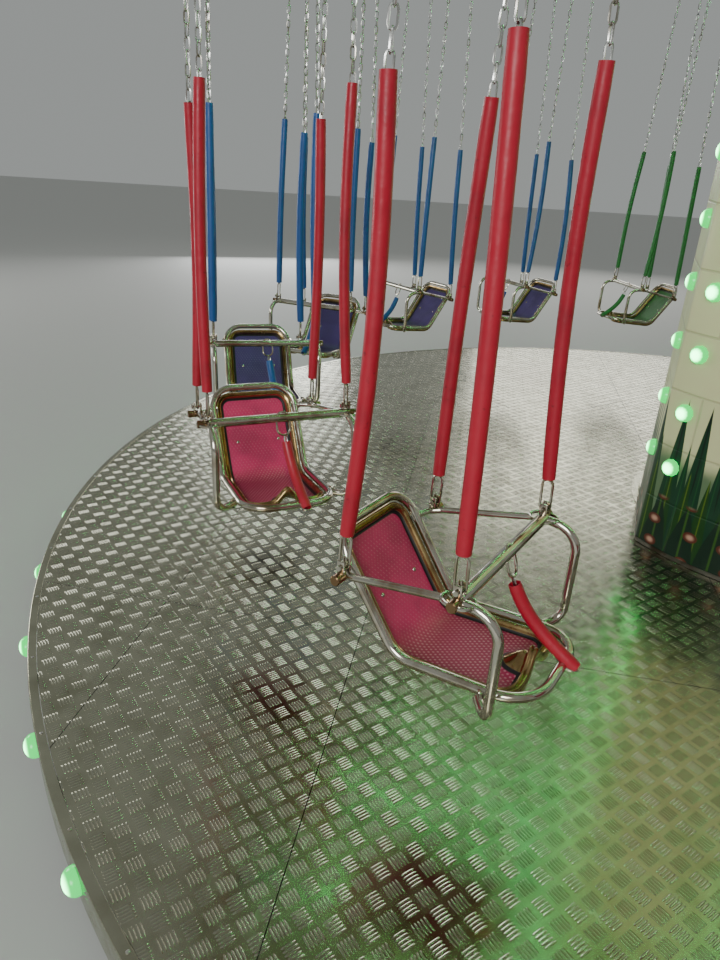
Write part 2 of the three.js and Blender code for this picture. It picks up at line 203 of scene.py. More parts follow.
def mirrored(shape):
    """The shape on the other side of x = 0. Its faces are read backwards, so they still point out."""
    points, faces = shape
    return points * [-1, 1, 1], [face[:, ::-1] for face in faces]


def welded(shape, *values):
    """Points at one place become one. A face that loses a corner becomes a triangle, or goes."""
    points, faces = shape
    _, first, number = np.unique(np.round(points, 6), axis=0, return_index=True, return_inverse=True)
    number = number.reshape(-1)
    kept = {}
    for face in faces:
        face = number[face]
        fresh = face != np.roll(face, 1, axis=1)
        for size in range(3, face.shape[1] + 1):
            chosen = fresh.sum(1) == size
            if chosen.any():
                kept.setdefault(size, []).append(face[chosen][fresh[chosen]].reshape(-1, size))
    return (points[first], [np.concatenate(group) for group in kept.values()]), *(v[first] for v in values)


def about_z(angle):
    """The matrix of a turn about the upright axis."""
    c, s = math.cos(angle), math.sin(angle)
    return np.array([[c, -s, 0], [s, c, 0], [0, 0, 1]])


def upright_on(direction, side=(0, 1, 0)):
    """A matrix whose third column is the direction, and whose first is as near to the side as it can be."""
    z = np.asarray(direction, float) / np.linalg.norm(direction)
    x = np.asarray(side, float) - np.dot(side, z) * z
    x /= np.linalg.norm(x)
    return np.stack([x, np.cross(z, x), z], 1)


# %% [markdown]
# ## Paths and tubes
#
# Bent tube is the skeleton of each chair. A path is drawn as straight lines through a few corners, and
# each corner becomes an arc, as in a tube bender. A ring carried along the path then makes the tube.
# Blender's own bevelled curves would do this too, but an array keeps the ring's twist and its faces known.

# %% Bent paths
def rounded(corners, radii, steps=8, closed=False):
    """A path through the corners, each made an arc: S + R (sin a) d1 + R (1 - cos a) n, where S lies
    R tan(half the turn) before the corner, d1 is the way in, and n stands square to it."""
    corners = np.asarray(corners, float)
    count = len(corners)
    inner = range(count) if closed else range(1, count - 1)
    path = [] if closed else [corners[:1]]
    for k, radius in zip(inner, radii):
        way_in = corners[k] - corners[k - 1]
        way_out = corners[(k + 1) % count] - corners[k]
        way_in /= np.linalg.norm(way_in)
        way_out /= np.linalg.norm(way_out)
        turn = math.acos(np.clip(way_in @ way_out, -1, 1))
        square = way_out - math.cos(turn) * way_in
        square /= np.linalg.norm(square)
        start = corners[k] - way_in * radius * math.tan(turn / 2)
        a = np.linspace(0, turn, steps + 1)[:, None]
        path.append(start + radius * (np.sin(a) * way_in + (1 - np.cos(a)) * square))
    if not closed:
        path.append(corners[-1:])
    return np.concatenate(path)


def frames(path, closed=False):
    """Two directions square to the path at each station, carried along it with little twist."""
    if closed:
        along = np.roll(path, -1, 0) - np.roll(path, 1, 0)
    else:
        along = np.gradient(path, axis=0)
    along /= np.linalg.norm(along, axis=1)[:, None]
    first = np.cross(along[0], [0.31, 0.17, 0.93])
    sides = [first / np.linalg.norm(first)]
    for direction in along[1:]:
        side = sides[-1] - (sides[-1] @ direction) * direction
        sides.append(side / np.linalg.norm(side))
    sides = np.array(sides)
    return sides, np.cross(along, sides)


# %% Tubes, rods and hoses
def circle(sides):
    """Cosine and sine at even steps round a circle, as two columns."""
    angle = 2 * np.pi * np.arange(sides) / sides
    return np.stack([np.cos(angle), np.sin(angle)], 1)


def tube(path, radius, sides=14, closed=False):
    """A tube: at each station a ring, centre + r cos(a) side + r sin(a) square."""
    path = np.asarray(path, float)
    radius = np.broadcast_to(radius, len(path))[:, None, None]
    side, square = frames(path, closed)
    c = circle(sides)
    rings = path[:, None] + radius * (side[:, None] * c[:, :1] + square[:, None] * c[:, 1:])
    return loft(rings, closed)


def rod(start, end, radius, sides=12, edge=0.001):
    """A straight round rod whose ends are drawn in over a small edge."""
    start, end = np.asarray(start, float), np.asarray(end, float)
    along = (end - start) / np.linalg.norm(end - start)
    path = [start, start + along * edge, end - along * edge, end]
    return tube(path, [radius - edge, radius, radius, radius - edge], sides)


def hollow(path, outer, inner, sides=16, edge=0.0012):
    """A hose: a ring goes up the outside and back down the inside, and the two ends close on themselves."""
    side, square = frames(path)
    c = circle(sides)
    there = np.full(len(path), outer)
    there[[0, -1]] = outer - edge
    back = np.full(len(path), inner)
    back[[0, -1]] = inner + edge
    radius = np.concatenate([there, back[::-1]])[:, None, None]
    centres = np.concatenate([path, path[::-1]])[:, None]
    side = np.concatenate([side, side[::-1]])[:, None]
    square = np.concatenate([square, square[::-1]])[:, None]
    return loft(centres + radius * (side * c[:, :1] + square * c[:, 1:]), closed=True)


# %% [markdown]
# ## Turned bodies and slabs
#
# What isn't tube is mostly turned or cut from plate. A turned body is a profile swept about the upright
# axis. A plate is a stack of rounded rectangles, drawn in a little at both ends, because a real edge is
# never quite sharp and its soft line catches the light.

# %% Turned bodies, racetracks and slabs
def turned(profile, sides=48, closed=False):
    """A body of revolution about Z: each [radius, height] of the profile becomes a level ring."""
    profile = np.asarray(profile, float)
    heights = np.broadcast_to(profile[:, None, 1:], (len(profile), sides, 1))
    return loft(np.concatenate([profile[:, None, :1] * circle(sides), heights], 2), closed)


def racetrack(length, width, steps=5):
    """A closed path of two half circles and two straights, its long side along Z."""
    radius = width / 2
    angle = np.linspace(0, np.pi, steps)
    top = np.stack([radius * np.cos(angle), 0 * angle, radius * np.sin(angle) + length / 2 - radius], 1)
    return np.concatenate([top, top * [-1, 1, -1]])


def rounded_outline(half_x, half_y, radius, steps=3):
    """A rectangle with round corners, anticlockwise: four quarter circles about the corner centres."""
    angle = np.linspace(0, np.pi / 2, steps + 1) + (np.arange(4) * np.pi / 2)[:, None]
    x = (half_x - radius) * np.array([1, -1, -1, 1])[:, None] + radius * np.cos(angle)
    y = (half_y - radius) * np.array([1, 1, -1, -1])[:, None] + radius * np.sin(angle)
    return np.stack([x, y], -1).reshape(-1, 2)


def level_ring(flat, height):
    """Points of a flat outline, all at one height."""
    return np.column_stack([flat, np.full(len(flat), height)])


def slab(half, edge=0.002, steps=2):
    """A box about the origin with soft edges: rounded rectangles stacked up, drawn in at both ends by
    edge (1 - sin a) while the height goes edge (1 - cos a) from the end."""
    a = np.linspace(0, np.pi / 2, steps + 1)
    inset = np.concatenate([edge * (1 - np.sin(a)), edge * (1 - np.sin(a[::-1]))])
    rise = edge * (1 - np.cos(a))
    height = np.concatenate([-half[2] + rise, (half[2] - rise)[::-1]])
    return loft(np.array([level_ring(rounded_outline(half[0] - d, half[1] - d, edge - d + 2e-4, steps), z)
                          for d, z in zip(inset, height)]))


# %% [markdown]
# ## From arrays to pieces
#
# A piece is one named object whose place is in its mesh. It gets a finish, rides on one body of the
# model, and may stand for the plain solid that it dresses. Faces meet smoothly except over sharp edges.

# %% Making a piece
FINISHES = {}


def piece(name, shape, finish, body, stands_for=(), slot=None, sharp=40, **values):
    """Puts a shape into a mesh object. Extra arrays become attributes: one number or three a point."""
    points, faces = shape
    mesh = bpy.data.meshes.new(name)
    corners = np.concatenate([face.ravel() for face in faces]).astype(np.int32)
    sizes = np.concatenate([np.full(len(face), face.shape[1]) for face in faces])
    starts = np.concatenate([[0], np.cumsum(sizes)[:-1]]).astype(np.int32)
    mesh.vertices.add(len(points))
    mesh.vertices.foreach_set("co", np.ascontiguousarray(points, np.float32).ravel())
    mesh.loops.add(len(corners))
    mesh.loops.foreach_set("vertex_index", corners)
    mesh.polygons.add(len(sizes))
    mesh.polygons.foreach_set("loop_start", starts)
    mesh.update(calc_edges=True)
    mesh.shade_smooth()
    mesh.set_sharp_from_angle(angle=math.radians(sharp))
    for key, value in values.items():
        kind, field = ("FLOAT_VECTOR", "vector") if value.ndim == 2 else ("FLOAT", "value")
        mesh.attributes.new(key, kind, "POINT").data.foreach_set(field, value.astype(np.float32).ravel())
    mesh.materials.append(FINISHES[finish])
    made = bpy.data.objects.new(name, mesh)
    bpy.context.scene.collection.objects.link(made)
    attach(made, body)
    if stands_for:
        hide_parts(*stands_for)
    return made


# %% [markdown]
# ## Finishes as node trees
#
# Each finish is a small tree of nodes under one glossy shader. Two helpers keep the trees short. A value
# is a node's output, and a sign between two values adds a Math node, so a pattern reads like its formula.
# A finish adds nodes and feeds their sockets. Patterns read Object coordinates, so they stay at their real
# scale and in their place when a body moves.

# %% A helper for formulas
class Value:
    """A node's output. Each sign between it and another output or a number makes one Math node."""

    def __init__(self, finish, socket):
        self.finish, self.socket = finish, socket

    def __add__(self, other):
        return self.finish.math("ADD", self, other)

    def __sub__(self, other):
        return self.finish.math("SUBTRACT", self, other)

    def __rsub__(self, other):
        return self.finish.math("SUBTRACT", other, self)

    def __mul__(self, other):
        return self.finish.math("MULTIPLY", self, other)

    def __truediv__(self, other):
        return self.finish.math("DIVIDE", self, other)

    def __mod__(self, other):
        return self.finish.math("MODULO", self, other)

    def __pow__(self, other):
        return self.finish.math("POWER", self, other)

    __radd__, __rmul__ = __add__, __mul__


# %% A helper for finishes
class Finish:
    """A material under construction. Keyword names are sockets of the shader, with _ for a space."""

    def __init__(self, name, **sockets):
        self.material = bpy.data.materials.new(name)
        self.material.use_nodes = True
        self.tree = self.material.node_tree
        self.shader = self.tree.nodes["Principled BSDF"]
        for socket, value in sockets.items():
            self.set(socket.replace("_", " "), value)
        self.place = self.add("ShaderNodeTexCoord").outputs["Object"]
        FINISHES[name] = self.material

    def set(self, socket, value):
        self.feed(self.shader.inputs[socket], value)

    def feed(self, socket, value):
        """A node's output is linked. A number or a colour is set on the socket itself."""
        if isinstance(value, Value):
            value = value.socket
        if isinstance(value, bpy.types.NodeSocket):
            self.tree.links.new(value, socket)
        elif socket.type == "RGBA":
            socket.default_value = (*value, 1)
        else:
            socket.default_value = value

    def add(self, kind, inputs=None, **settings):
        node = self.tree.nodes.new(kind)
        for key, value in settings.items():
            setattr(node, key, value)
        for key, value in (inputs or {}).items():
            self.feed(node.inputs[key], value)
        return node

    def math(self, operation, *values):
        return Value(self, self.add("ShaderNodeMath", dict(enumerate(values)), operation=operation).outputs[0])

    def noise(self, scale, detail):
        inputs = {"Vector": self.place, "Scale": scale, "Detail": detail, "Roughness": 0.55}
        return Value(self, self.add("ShaderNodeTexNoise", inputs).outputs["Fac"])

    def between(self, value, low, high, start=0.0, end=1.0):
        """A smooth rise from start to end while the value goes from low to high."""
        names = ("Value", "From Min", "From Max", "To Min", "To Max")
        inputs = dict(zip(names, (value, low, high, start, end)))
        return Value(self, self.add("ShaderNodeMapRange", inputs, interpolation_type="SMOOTHSTEP").outputs[0])

    def blend(self, share, first, second):
        """The first colour where the share is 0, the second where it is 1."""
        inputs = {0: share, 6: first, 7: second}
        return Value(self, self.add("ShaderNodeMix", inputs, data_type="RGBA").outputs[2])

    def split(self, vector):
        return [Value(self, part) for part in self.add("ShaderNodeSeparateXYZ", {0: vector}).outputs]

    def joined(self, x, y):
        return self.add("ShaderNodeCombineXYZ", {0: x, 1: y}).outputs[0]

    def turned_place(self, angle, scale=1.0):
        inputs = {"Vector": self.place, "Rotation": (0, 0, angle), "Scale": (scale, scale, scale)}
        return self.add("ShaderNodeMapping", inputs).outputs[0]

    def attribute(self, name, kind="Vector"):
        return Value(self, self.add("ShaderNodeAttribute", attribute_name=name).outputs[kind])

    def bump(self, height, distance, strength=1.0):
        """Raises the surface. A second bump stands on the first."""
        inputs = {"Height": height, "Distance": distance, "Strength": strength}
        if self.shader.inputs["Normal"].is_linked:
            inputs["Normal"] = self.shader.inputs["Normal"].links[0].from_socket
        self.set("Normal", self.add("ShaderNodeBump", inputs).outputs[0])


def darker(colour, share):
    """The colour with each part cut down to a share of it."""
    return tuple(share * part for part in colour)


# %% [markdown]
# ## Bright metals
#
# The chair tubes are chromed and well used: mostly mirror bright, with rubbed patches and a brown tint
# where hands and weather have worked. A chromed surface has almost no colour of its own, so the look
# comes from small changes of roughness. The chains and the seat's rolled rim are duller.

# %% Chrome, zinc and bronze
def bright_metal(name, colour, tint, smooth, rough, grain=0.00008):
    """Metal whose roughness wanders from smooth to rough, and whose colour leans to the tint in patches."""
    made = Finish(name, Metallic=1.0)
    patches = made.noise(9, 5)
    made.set("Base Color", made.blend(made.between(patches, 0.46, 0.68), colour, tint))
    made.set("Roughness", made.between(made.noise(38, 4), 0.3, 0.75, smooth, rough))
    made.bump(made.noise(260, 2), grain)


bright_metal("chrome", (0.58, 0.55, 0.47), (0.33, 0.26, 0.17), 0.05, 0.20)
bright_metal("zinc", (0.60, 0.60, 0.58), (0.42, 0.38, 0.32), 0.22, 0.42, 0.00015)
bright_metal("bronze", (0.27, 0.17, 0.09), (0.13, 0.085, 0.05), 0.16, 0.36)
bright_metal("dark_steel", (0.22, 0.21, 0.19), (0.12, 0.09, 0.07), 0.30, 0.55, 0.0002)
print("metals:", list(FINISHES))

# %% [markdown]
# ## Sleeves
#
# Soft plastic hose covers the lower chains so that no finger is caught. It is evenly coloured and half
# glossy, with rubbed dull patches, faint ripples across and dark scuffs. Three noises of different scale
# give the three kinds of wear, from patches as wide as a hand to scuffs of a few millimetres.

# %% Sleeve plastic
SLEEVE_COLOURS = {
    "magenta": (0.42, 0.007, 0.026),
    "purple": (0.010, 0.085, 0.30),
    "green": (0.016, 0.17, 0.035),
    "amber": (0.60, 0.28, 0.015),
}
for colour_name, colour in SLEEVE_COLOURS.items():
    hose = Finish(f"sleeve_{colour_name}", Coat_Weight=0.1, Coat_Roughness=0.3)
    rubbed = hose.blend(hose.between(hose.noise(10, 4), 0.42, 0.8), colour, darker(colour, 0.72))
    scuffs = hose.between(hose.noise(60, 5), 0.63, 0.76) * 0.6
    hose.set("Base Color", hose.blend(scuffs, rubbed, darker(colour, 0.2)))
    hose.set("Roughness", hose.between(hose.noise(22, 3), 0.3, 0.7, 0.34, 0.55))
    hose.bump(hose.noise(45, 2), 0.0012)
print("sleeve colours:", list(SLEEVE_COLOURS))

# %% [markdown]
# ## The seat panel
#
# The moulded seat has a woven look: staggered rows of short raised stitches, painted lighter than the
# ground as painted highlights, inside a black reveal and a bronze rolled rim. A black band on the front
# saddle is painted shade. The mesh carries its flat coordinates (across, along, inset from the edge) as
# an attribute, so the rows follow the bent shell as a weave would.

# %% Woven panel
PANEL_COLOURS = {
    "magenta": (0.68, 0.030, 0.15),
    "purple": (0.065, 0.034, 0.18),
    "green": (0.028, 0.15, 0.028),
    "amber": (0.58, 0.25, 0.015),
}
STITCH_ACROSS = 0.0125
STITCH_ALONG = 0.0092
RIB = 0.0064
SEAT_START = 0.315
SEAT_MERGE = 0.04
RIM_INSET = 0.0210
REVEAL_INSET = 0.0300
# From the saddle height HUMP_EDGE up to HUMP_GOLD, the sheet is painted black as painted shade on the saddle's
# rising flank.
HUMP_EDGE = 0.0070
HUMP_GOLD = 0.0120
EDGE_AND_SHADE_BLACK = (0.008, 0.008, 0.009)
RIM_BRONZE = (0.46, 0.33, 0.15)
RIM_TARNISH = (0.22, 0.14, 0.055)


def stitches(made, across, along):
    """Ellipses on a grid whose every second row is shifted by half a stitch."""
    row = along / STITCH_ALONG
    column = across / STITCH_ACROSS + made.math("FLOOR", row) % 2.0 * 0.5
    x = made.math("FRACT", column + 100.0) - 0.5
    y = made.math("FRACT", row) - 0.5
    return made.between((x * 4.6) ** 2.0 + (y * 2.7) ** 2.0, 1.2, 0.4)


def woven_panel(name, colour):
    """Stitches on the seat, and slantwise ribs of stitches over the back; their lighter colour is a painted
    highlight. The inset decides where the bronze rim and the black reveal are, and the saddle's height where
    the bronze is and where a black band of painted shade lies on its rising flank."""
    made = Finish(name)
    across, along, inset = made.split(made.attribute("flat"))
    hump = made.attribute("hump", "Fac")
    stitch = stitches(made, across, along)
    slant = across + along * 0.6
    rib = made.between(made.math("SINE", slant * (2 * math.pi / RIB)), -0.2, 0.9)
    level = made.between(along, SEAT_START - SEAT_MERGE, SEAT_START + SEAT_MERGE)
    worn = made.noise(7, 4)
    ground = made.blend(made.between(worn, 0.35, 0.75), colour, darker(colour, 0.6))
    ground = made.blend(level, ground, darker(colour, 0.55))
    on_seat = stitch * made.between(made.noise(9, 2), 0.3, 0.7, 0.35, 0.85)
    on_back = rib * stitch * 0.42
    share = on_seat * level + on_back * (1.0 - level)
    # The lighter stitch colour is a painted highlight on the raised stitches.
    weave_and_highlight = made.blend(share, ground, tuple(0.55 * part + 0.30 for part in colour))

    # Black along the panel's edge, and a black band of painted shade on the saddle's flank.
    black_edge_and_saddle_shade = made.between(inset + made.noise(140, 1) * 0.0016, REVEAL_INSET + 0.0012, REVEAL_INSET)
    black_edge_and_saddle_shade = made.math("MAXIMUM", black_edge_and_saddle_shade, made.between(hump, HUMP_EDGE - 0.002, HUMP_EDGE))
    gold = made.between(inset, RIM_INSET + 0.0005, RIM_INSET - 0.0005)
    gold = made.math("MAXIMUM", gold, made.between(hump, HUMP_GOLD - 0.001, HUMP_GOLD + 0.001))
    metal = made.blend(made.between(made.noise(12, 4), 0.4, 0.7), RIM_BRONZE, RIM_TARNISH)
    made.set("Base Color", made.blend(gold, made.blend(black_edge_and_saddle_shade, weave_and_highlight, EDGE_AND_SHADE_BLACK), metal))
    made.set("Metallic", gold)
    made.set("Roughness", made.between(worn, 0.3, 0.8, 0.34, 0.52) - gold * 0.18)
    made.bump(made.math("MAXIMUM", share, 0.0) * (1.0 - black_edge_and_saddle_shade), 0.0010, 0.9)


for colour_name, colour in PANEL_COLOURS.items():
    woven_panel(f"panel_{colour_name}", colour)
print("panel colours:", list(PANEL_COLOURS))

# %% [markdown]
# ## Tread plate
#
# The deck is five-bar aluminium tread plate, laid in sheets that run a little askew to the ride. The
# bars lie in groups of five on a board of squares, and each second square's bars are turned a quarter.
# Seventy thousand bars would be too many faces, so they are bump, and the same mask also rubs their tops
# bright and leaves dirt between them. Sheet joints are thin dark lines.

# %% Bars of the tread plate
TREAD_SQUARE = 0.0527
BAR_GAP = 0.0088
BAR_HALF = 0.0195
BAR_NARROWNESS = 2.9


def tread_bars(made, x, y):
    """Height of the bars: in each square five rounded strokes lie a gap apart, and the parity of the
    square's row and column swaps the way they run. x and y count squares."""
    parity = made.math("ABSOLUTE", made.math("FLOOR", x) + made.math("FLOOR", y)) % 2.0
    fx = made.math("FRACT", x + 200.0) - 0.5
    fy = made.math("FRACT", y + 200.0) - 0.5
    along = parity * (fy - fx) + fx
    over = fx + fy - along
    bar_place = over * (TREAD_SQUARE / BAR_GAP)
    nearest = made.math("MINIMUM", made.math("MAXIMUM", made.math("ROUND", bar_place), -2.0), 2.0)
    off_line = (bar_place - nearest) * BAR_NARROWNESS
    past_end = along * TREAD_SQUARE / BAR_HALF
    return made.between(off_line ** 2.0 + past_end ** 4.0, 1.0, 0.0)


# %% Worn aluminium
SHEET_TURN = math.radians(-8)
LONG_SEAMS = (-2.586, -1.856, -0.51, 0.837, 2.184, 2.91)
CROSS_SEAMS = (-1.527, 1.116)
SEAM_HALF = 0.0013
PLATE_CLEAN = (0.465, 0.46, 0.345)
PLATE_GRIMY = (0.345, 0.34, 0.24)
PLATE_STAIN = (0.235, 0.19, 0.145)
PLATE_LOW = (0.17, 0.16, 0.11)
PLATE_RUBBED = (0.66, 0.65, 0.54)
SEAM_DARK = (0.03, 0.028, 0.025)


def worn_aluminium(name, on_deck):
    """Aluminium sheet. On the deck the bars lie by place, and elsewhere along the flat attribute, whose
    third number says where they show."""
    made = Finish(name, Metallic=1.0)
    seam = 0.0
    if on_deck:
        across, lengthways, _ = made.split(made.turned_place(-SHEET_TURN))
        for way, seams in ((across, LONG_SEAMS), (lengthways, CROSS_SEAMS)):
            for seam_place in seams:
                seam = made.math("MAXIMUM", seam, made.math("COMPARE", way, seam_place, SEAM_HALF))
        x, y, _ = made.split(made.turned_place(-(SHEET_TURN + math.pi / 4), 1 / TREAD_SQUARE))
        bar = tread_bars(made, x, y)
    else:
        run, depth, shown = made.split(made.attribute("flat"))
        half = TREAD_SQUARE * math.sqrt(2)
        bar = tread_bars(made, (run + depth) / half, (run - depth) / half) * shown

    cloudy = made.between(made.noise(1.1, 5), 0.50, 0.75) * 0.30
    clean = made.blend(made.between(made.noise(7.0, 6), 0.40, 0.75), PLATE_CLEAN, PLATE_GRIMY)
    dirty = made.blend((1.0 - bar) * 0.14, made.blend(cloudy, clean, PLATE_STAIN), PLATE_LOW)
    made.set("Base Color", made.blend(seam, made.blend(bar * 0.18, dirty, PLATE_RUBBED), SEAM_DARK))
    made.set("Roughness", made.between(made.noise(16, 4), 0.3, 0.7, 0.15, 0.28) - bar * 0.06)
    made.bump(made.noise(2.3, 2), 0.005, 0.5)
    made.bump(bar - seam * 1.5, 0.0015)


worn_aluminium("tread", on_deck=True)
worn_aluminium("tread_lip", on_deck=False)
print("tread square", TREAD_SQUARE, "joints:", len(LONG_SEAMS) + len(CROSS_SEAMS))

# %% [markdown]
# ## Column cladding
#
# The cladding is cream fibreglass moulded with shallow courses of large blocks. Its foot carries a
# painted border, made here as a plain repeating pattern: rows of pointed leaves with midribs, and round
# berries between them. A brick texture gives the courses, and a formula gives the leaf.

# %% Cream blocks
BLOCK_WIDTH = 0.42
BLOCK_HEIGHT = 0.24
CREAM = (0.78, 0.77, 0.44)
CREAM_AGED = (0.66, 0.65, 0.365)
CREAM_BLOCK = (0.66, 0.65, 0.37)
CREAM_JOINT = (0.38, 0.37, 0.22)


def cream_blocks(made, across, height):
    """Cream paint, whose blocks differ a little. Gives the colour and the mask of the joints."""
    bricks = made.add("ShaderNodeTexBrick", {
        "Vector": made.joined(across, height), "Scale": 1.0, "Mortar Size": 0.007, "Mortar Smooth": 0.8,
        "Brick Width": BLOCK_WIDTH, "Row Height": BLOCK_HEIGHT,
        "Color1": (1, 1, 1), "Color2": (0.86, 0.86, 0.86),
    })
    joint = Value(made, bricks.outputs["Fac"])
    shade = made.split(bricks.outputs["Color"])[0]
    cream = made.blend(made.noise(3.5, 5), CREAM, CREAM_AGED)
    cream = made.blend(made.between(shade, 0.86, 1.0), made.blend(0.5, cream, CREAM_BLOCK), cream)
    return made.blend(joint * 0.4, cream, CREAM_JOINT), joint


# %% Leaf border
LEAF_WIDTH = 0.084
BORDER_HEIGHT = 0.46
BERRY_SPREAD = (0.17, 0.125)
BERRY_TOP = 0.27
BORDER_GREEN = (0.010, 0.085, 0.042)
BERRY_SKIN = (0.10, 0.022, 0.012)
BERRY_HEART = (0.52, 0.30, 0.22)
LEAF_ROWS = (  # width, height, shift, leaf, midrib
    (LEAF_WIDTH * 1.27, BORDER_HEIGHT + 0.26, 0.1, (0.004, 0.040, 0.016), (0.002, 0.014, 0.007)),
    (LEAF_WIDTH * 0.83, BORDER_HEIGHT + 0.08, 0.45, (0.004, 0.040, 0.017), (0.010, 0.075, 0.022)),
    (LEAF_WIDTH, BORDER_HEIGHT - 0.04, 0.62, (0.008, 0.048, 0.007), (0.07, 0.13, 0.010)),
    (LEAF_WIDTH * 1.6, BORDER_HEIGHT - 0.18, 0.35, (0.003, 0.020, 0.010), (0.03, 0.09, 0.012)),
)


def leaf_row(made, across, height, width, tall, shift):
    """A leaf fills u < 0.98 - (height / tall)^1.6, where u goes from 0 at its midrib to 1 between leaves."""
    u = made.math("ABSOLUTE", (made.math("FRACT", across / width + (50 + shift)) - 0.5) * 2.0)
    edge = 0.98 - made.math("MAXIMUM", height / tall, 0.0) ** 1.6
    return made.between(edge - u, 0.0, 0.05), made.between(u, 0.10, 0.04)


def leaf_border(made, across, height, colour):
    """The colour with a green ground, rows of leaves from back to front, and berries laid over it."""
    ground = made.between(height - made.noise(6, 3) * 0.10, BORDER_HEIGHT, BORDER_HEIGHT - 0.12)
    colour = made.blend(ground * 0.85, colour, BORDER_GREEN)
    for width, tall, shift, leaf, midrib in LEAF_ROWS:
        inside, rib = leaf_row(made, across, height, width, tall, shift)
        colour = made.blend(inside, colour, made.blend(rib, leaf, midrib))
    spread = made.joined(across / BERRY_SPREAD[0], height / BERRY_SPREAD[1])
    cell = made.add("ShaderNodeTexVoronoi", {"Vector": spread, "Scale": 1.0, "Randomness": 0.35},
                    voronoi_dimensions="2D").outputs["Distance"]
    berry = made.between(cell, 0.20, 0.17) * made.between(height, BERRY_TOP, BERRY_TOP - 0.02)
    fruit = made.blend(made.between(cell, 0.15, 0.03), BERRY_SKIN, BERRY_HEART)
    return made.blend(berry, colour, fruit)


# %% Cladding
for cladding_name, with_border in (("cladding", True), ("core_cladding", False)):
    clad = Finish(cladding_name)
    across, height, _ = clad.split(clad.attribute("flat"))
    colour, joint = cream_blocks(clad, across, height)
    if with_border:
        colour = leaf_border(clad, across, height, colour)
    clad.set("Base Color", colour)
    clad.set("Roughness", clad.between(clad.noise(8, 3), 0.3, 0.7, 0.34, 0.50))
    clad.bump(clad.noise(5, 4) - joint * 0.8, 0.004, 0.6)
print("leaf rows:", len(LEAF_ROWS))

# %% [markdown]
# ## Paints and lamps
#
# The turning top is gloss painted. Paint on sheet metal shows soft mottling, slight ripples, and darker
# dust that gathers in patches. The lamp caps are moulded green plastic with a bright light inside, so
# they glow white green in the middle and deep green at the edge.

# %% Paints
DUST = (0.30, 0.28, 0.25)
PAINTS = {
    "blue_paint": (0.025, 0.13, 0.42),
    "yellow_paint": (0.72, 0.44, 0.05),
    "red_paint": (0.50, 0.025, 0.03),
    "cream_paint": (0.72, 0.67, 0.50),
    "grey_paint": (0.10, 0.105, 0.11),
    "gold_paint": (0.62, 0.40, 0.10),
}
for paint_name, colour in PAINTS.items():
    gloss = Finish(paint_name, Coat_Weight=0.3, Coat_Roughness=0.12)
    mottled = gloss.blend(gloss.noise(4, 5), colour, darker(colour, 0.78))
    dust = gloss.between(gloss.noise(2.2, 6), 0.45, 0.8) * 0.35
    gloss.set("Base Color", gloss.blend(dust, mottled, DUST))
    gloss.set("Roughness", dust * 0.5 + 0.28)
    gloss.bump(gloss.noise(6, 3), 0.003, 0.4)

# %% Lamp plastic
LAMP_EDGE = 1.3
LAMP_HOT = {"lamp_cap": 13.0, "arm_lamp_cap": 38.0}
CAP_GREEN = (0.004, 0.20, 0.04)
EDGE_GLOW = (0.0, 1.0, 0.14)
MIDDLE_GLOW = (0.22, 1.0, 0.34)

for cap_name, hot in LAMP_HOT.items():
    cap = Finish(cap_name, Roughness=0.25, Coat_Weight=0.15)
    middle = cap.between(cap.attribute("glow", "Fac"), 0.50, 0.98)
    cap.set("Base Color", CAP_GREEN)
    cap.set("Emission Color", cap.blend(middle, EDGE_GLOW, MIDDLE_GLOW))
    cap.set("Emission Strength", middle * (hot - LAMP_EDGE) + LAMP_EDGE)
print("finishes:", len(FINISHES))

# %% [markdown]
# ## Lamp caps
#
# A cap is a low dome with twelve shallow lobes, standing on a thin ring. One dome is made facing up, and
# then copied with a turn and a place for each lamp on the rim, the column, the boards and the roof. Small
# caps, seen only from far off, have fewer faces and no lobes.

# %% Lamp cap shape
LOBE_DEPTH = 0.035
CAP_RING = 0.22


def lamp_shape(radius, reach, rings, sides, lobes):
    """Dome: radius r cos(a) (1 + depth cos(lobes b) cos(a)), height reach (ring + (1 - ring) sin(a)). The
    glow grows as sin(a) to the middle."""
    a = np.linspace(0, np.pi / 2, rings + 1)
    b = 2 * np.pi * np.arange(sides) / sides
    wide = radius * np.cos(a)[:, None] * (1 + LOBE_DEPTH * np.cos(lobes * b) * np.cos(a)[:, None])
    height = np.broadcast_to((reach * (CAP_RING + (1 - CAP_RING) * np.sin(a)))[:, None], wide.shape)
    dome = np.stack([wide * np.cos(b), wide * np.sin(b), height], -1)
    foot = dome[:1] * [1, 1, 0]
    glow = np.repeat(np.concatenate([[0], np.sin(a)]), sides)
    return welded(loft(np.concatenate([foot, dome])), glow)


def lamps(name, body, places, directions, radius, reach, slot=None, small=False, finish="lamp_cap"):
    """One piece of many caps, each standing on its place along its direction."""
    shape, glow = lamp_shape(radius, reach, *((3, 10, 0) if small else (6, 24, 12)))
    turns = [upright_on(direction, (0.02, 0.01, 1)) for direction in directions]
    piece(name, copies(shape, turns, places), finish, body, slot=slot, sharp=60,
          glow=np.tile(glow, len(places)))
    print(name, "lamps:", len(places))


def on_circle(angles, radius, height):
    """Points at angles on a level circle."""
    angles = np.asarray(angles, float)
    level = np.broadcast_to(height, angles.shape)
    return np.stack([radius * np.cos(angles), radius * np.sin(angles), level], -1)


# %% [markdown]
# ## The deck
#
# The deck is a disc of sheets with a smooth border strip screwed down over their ends, and a lip folded
# down all round. The disc is a turned body with many sides, so the rim is truly round. The screws are
# one small dome, copied round two circles.

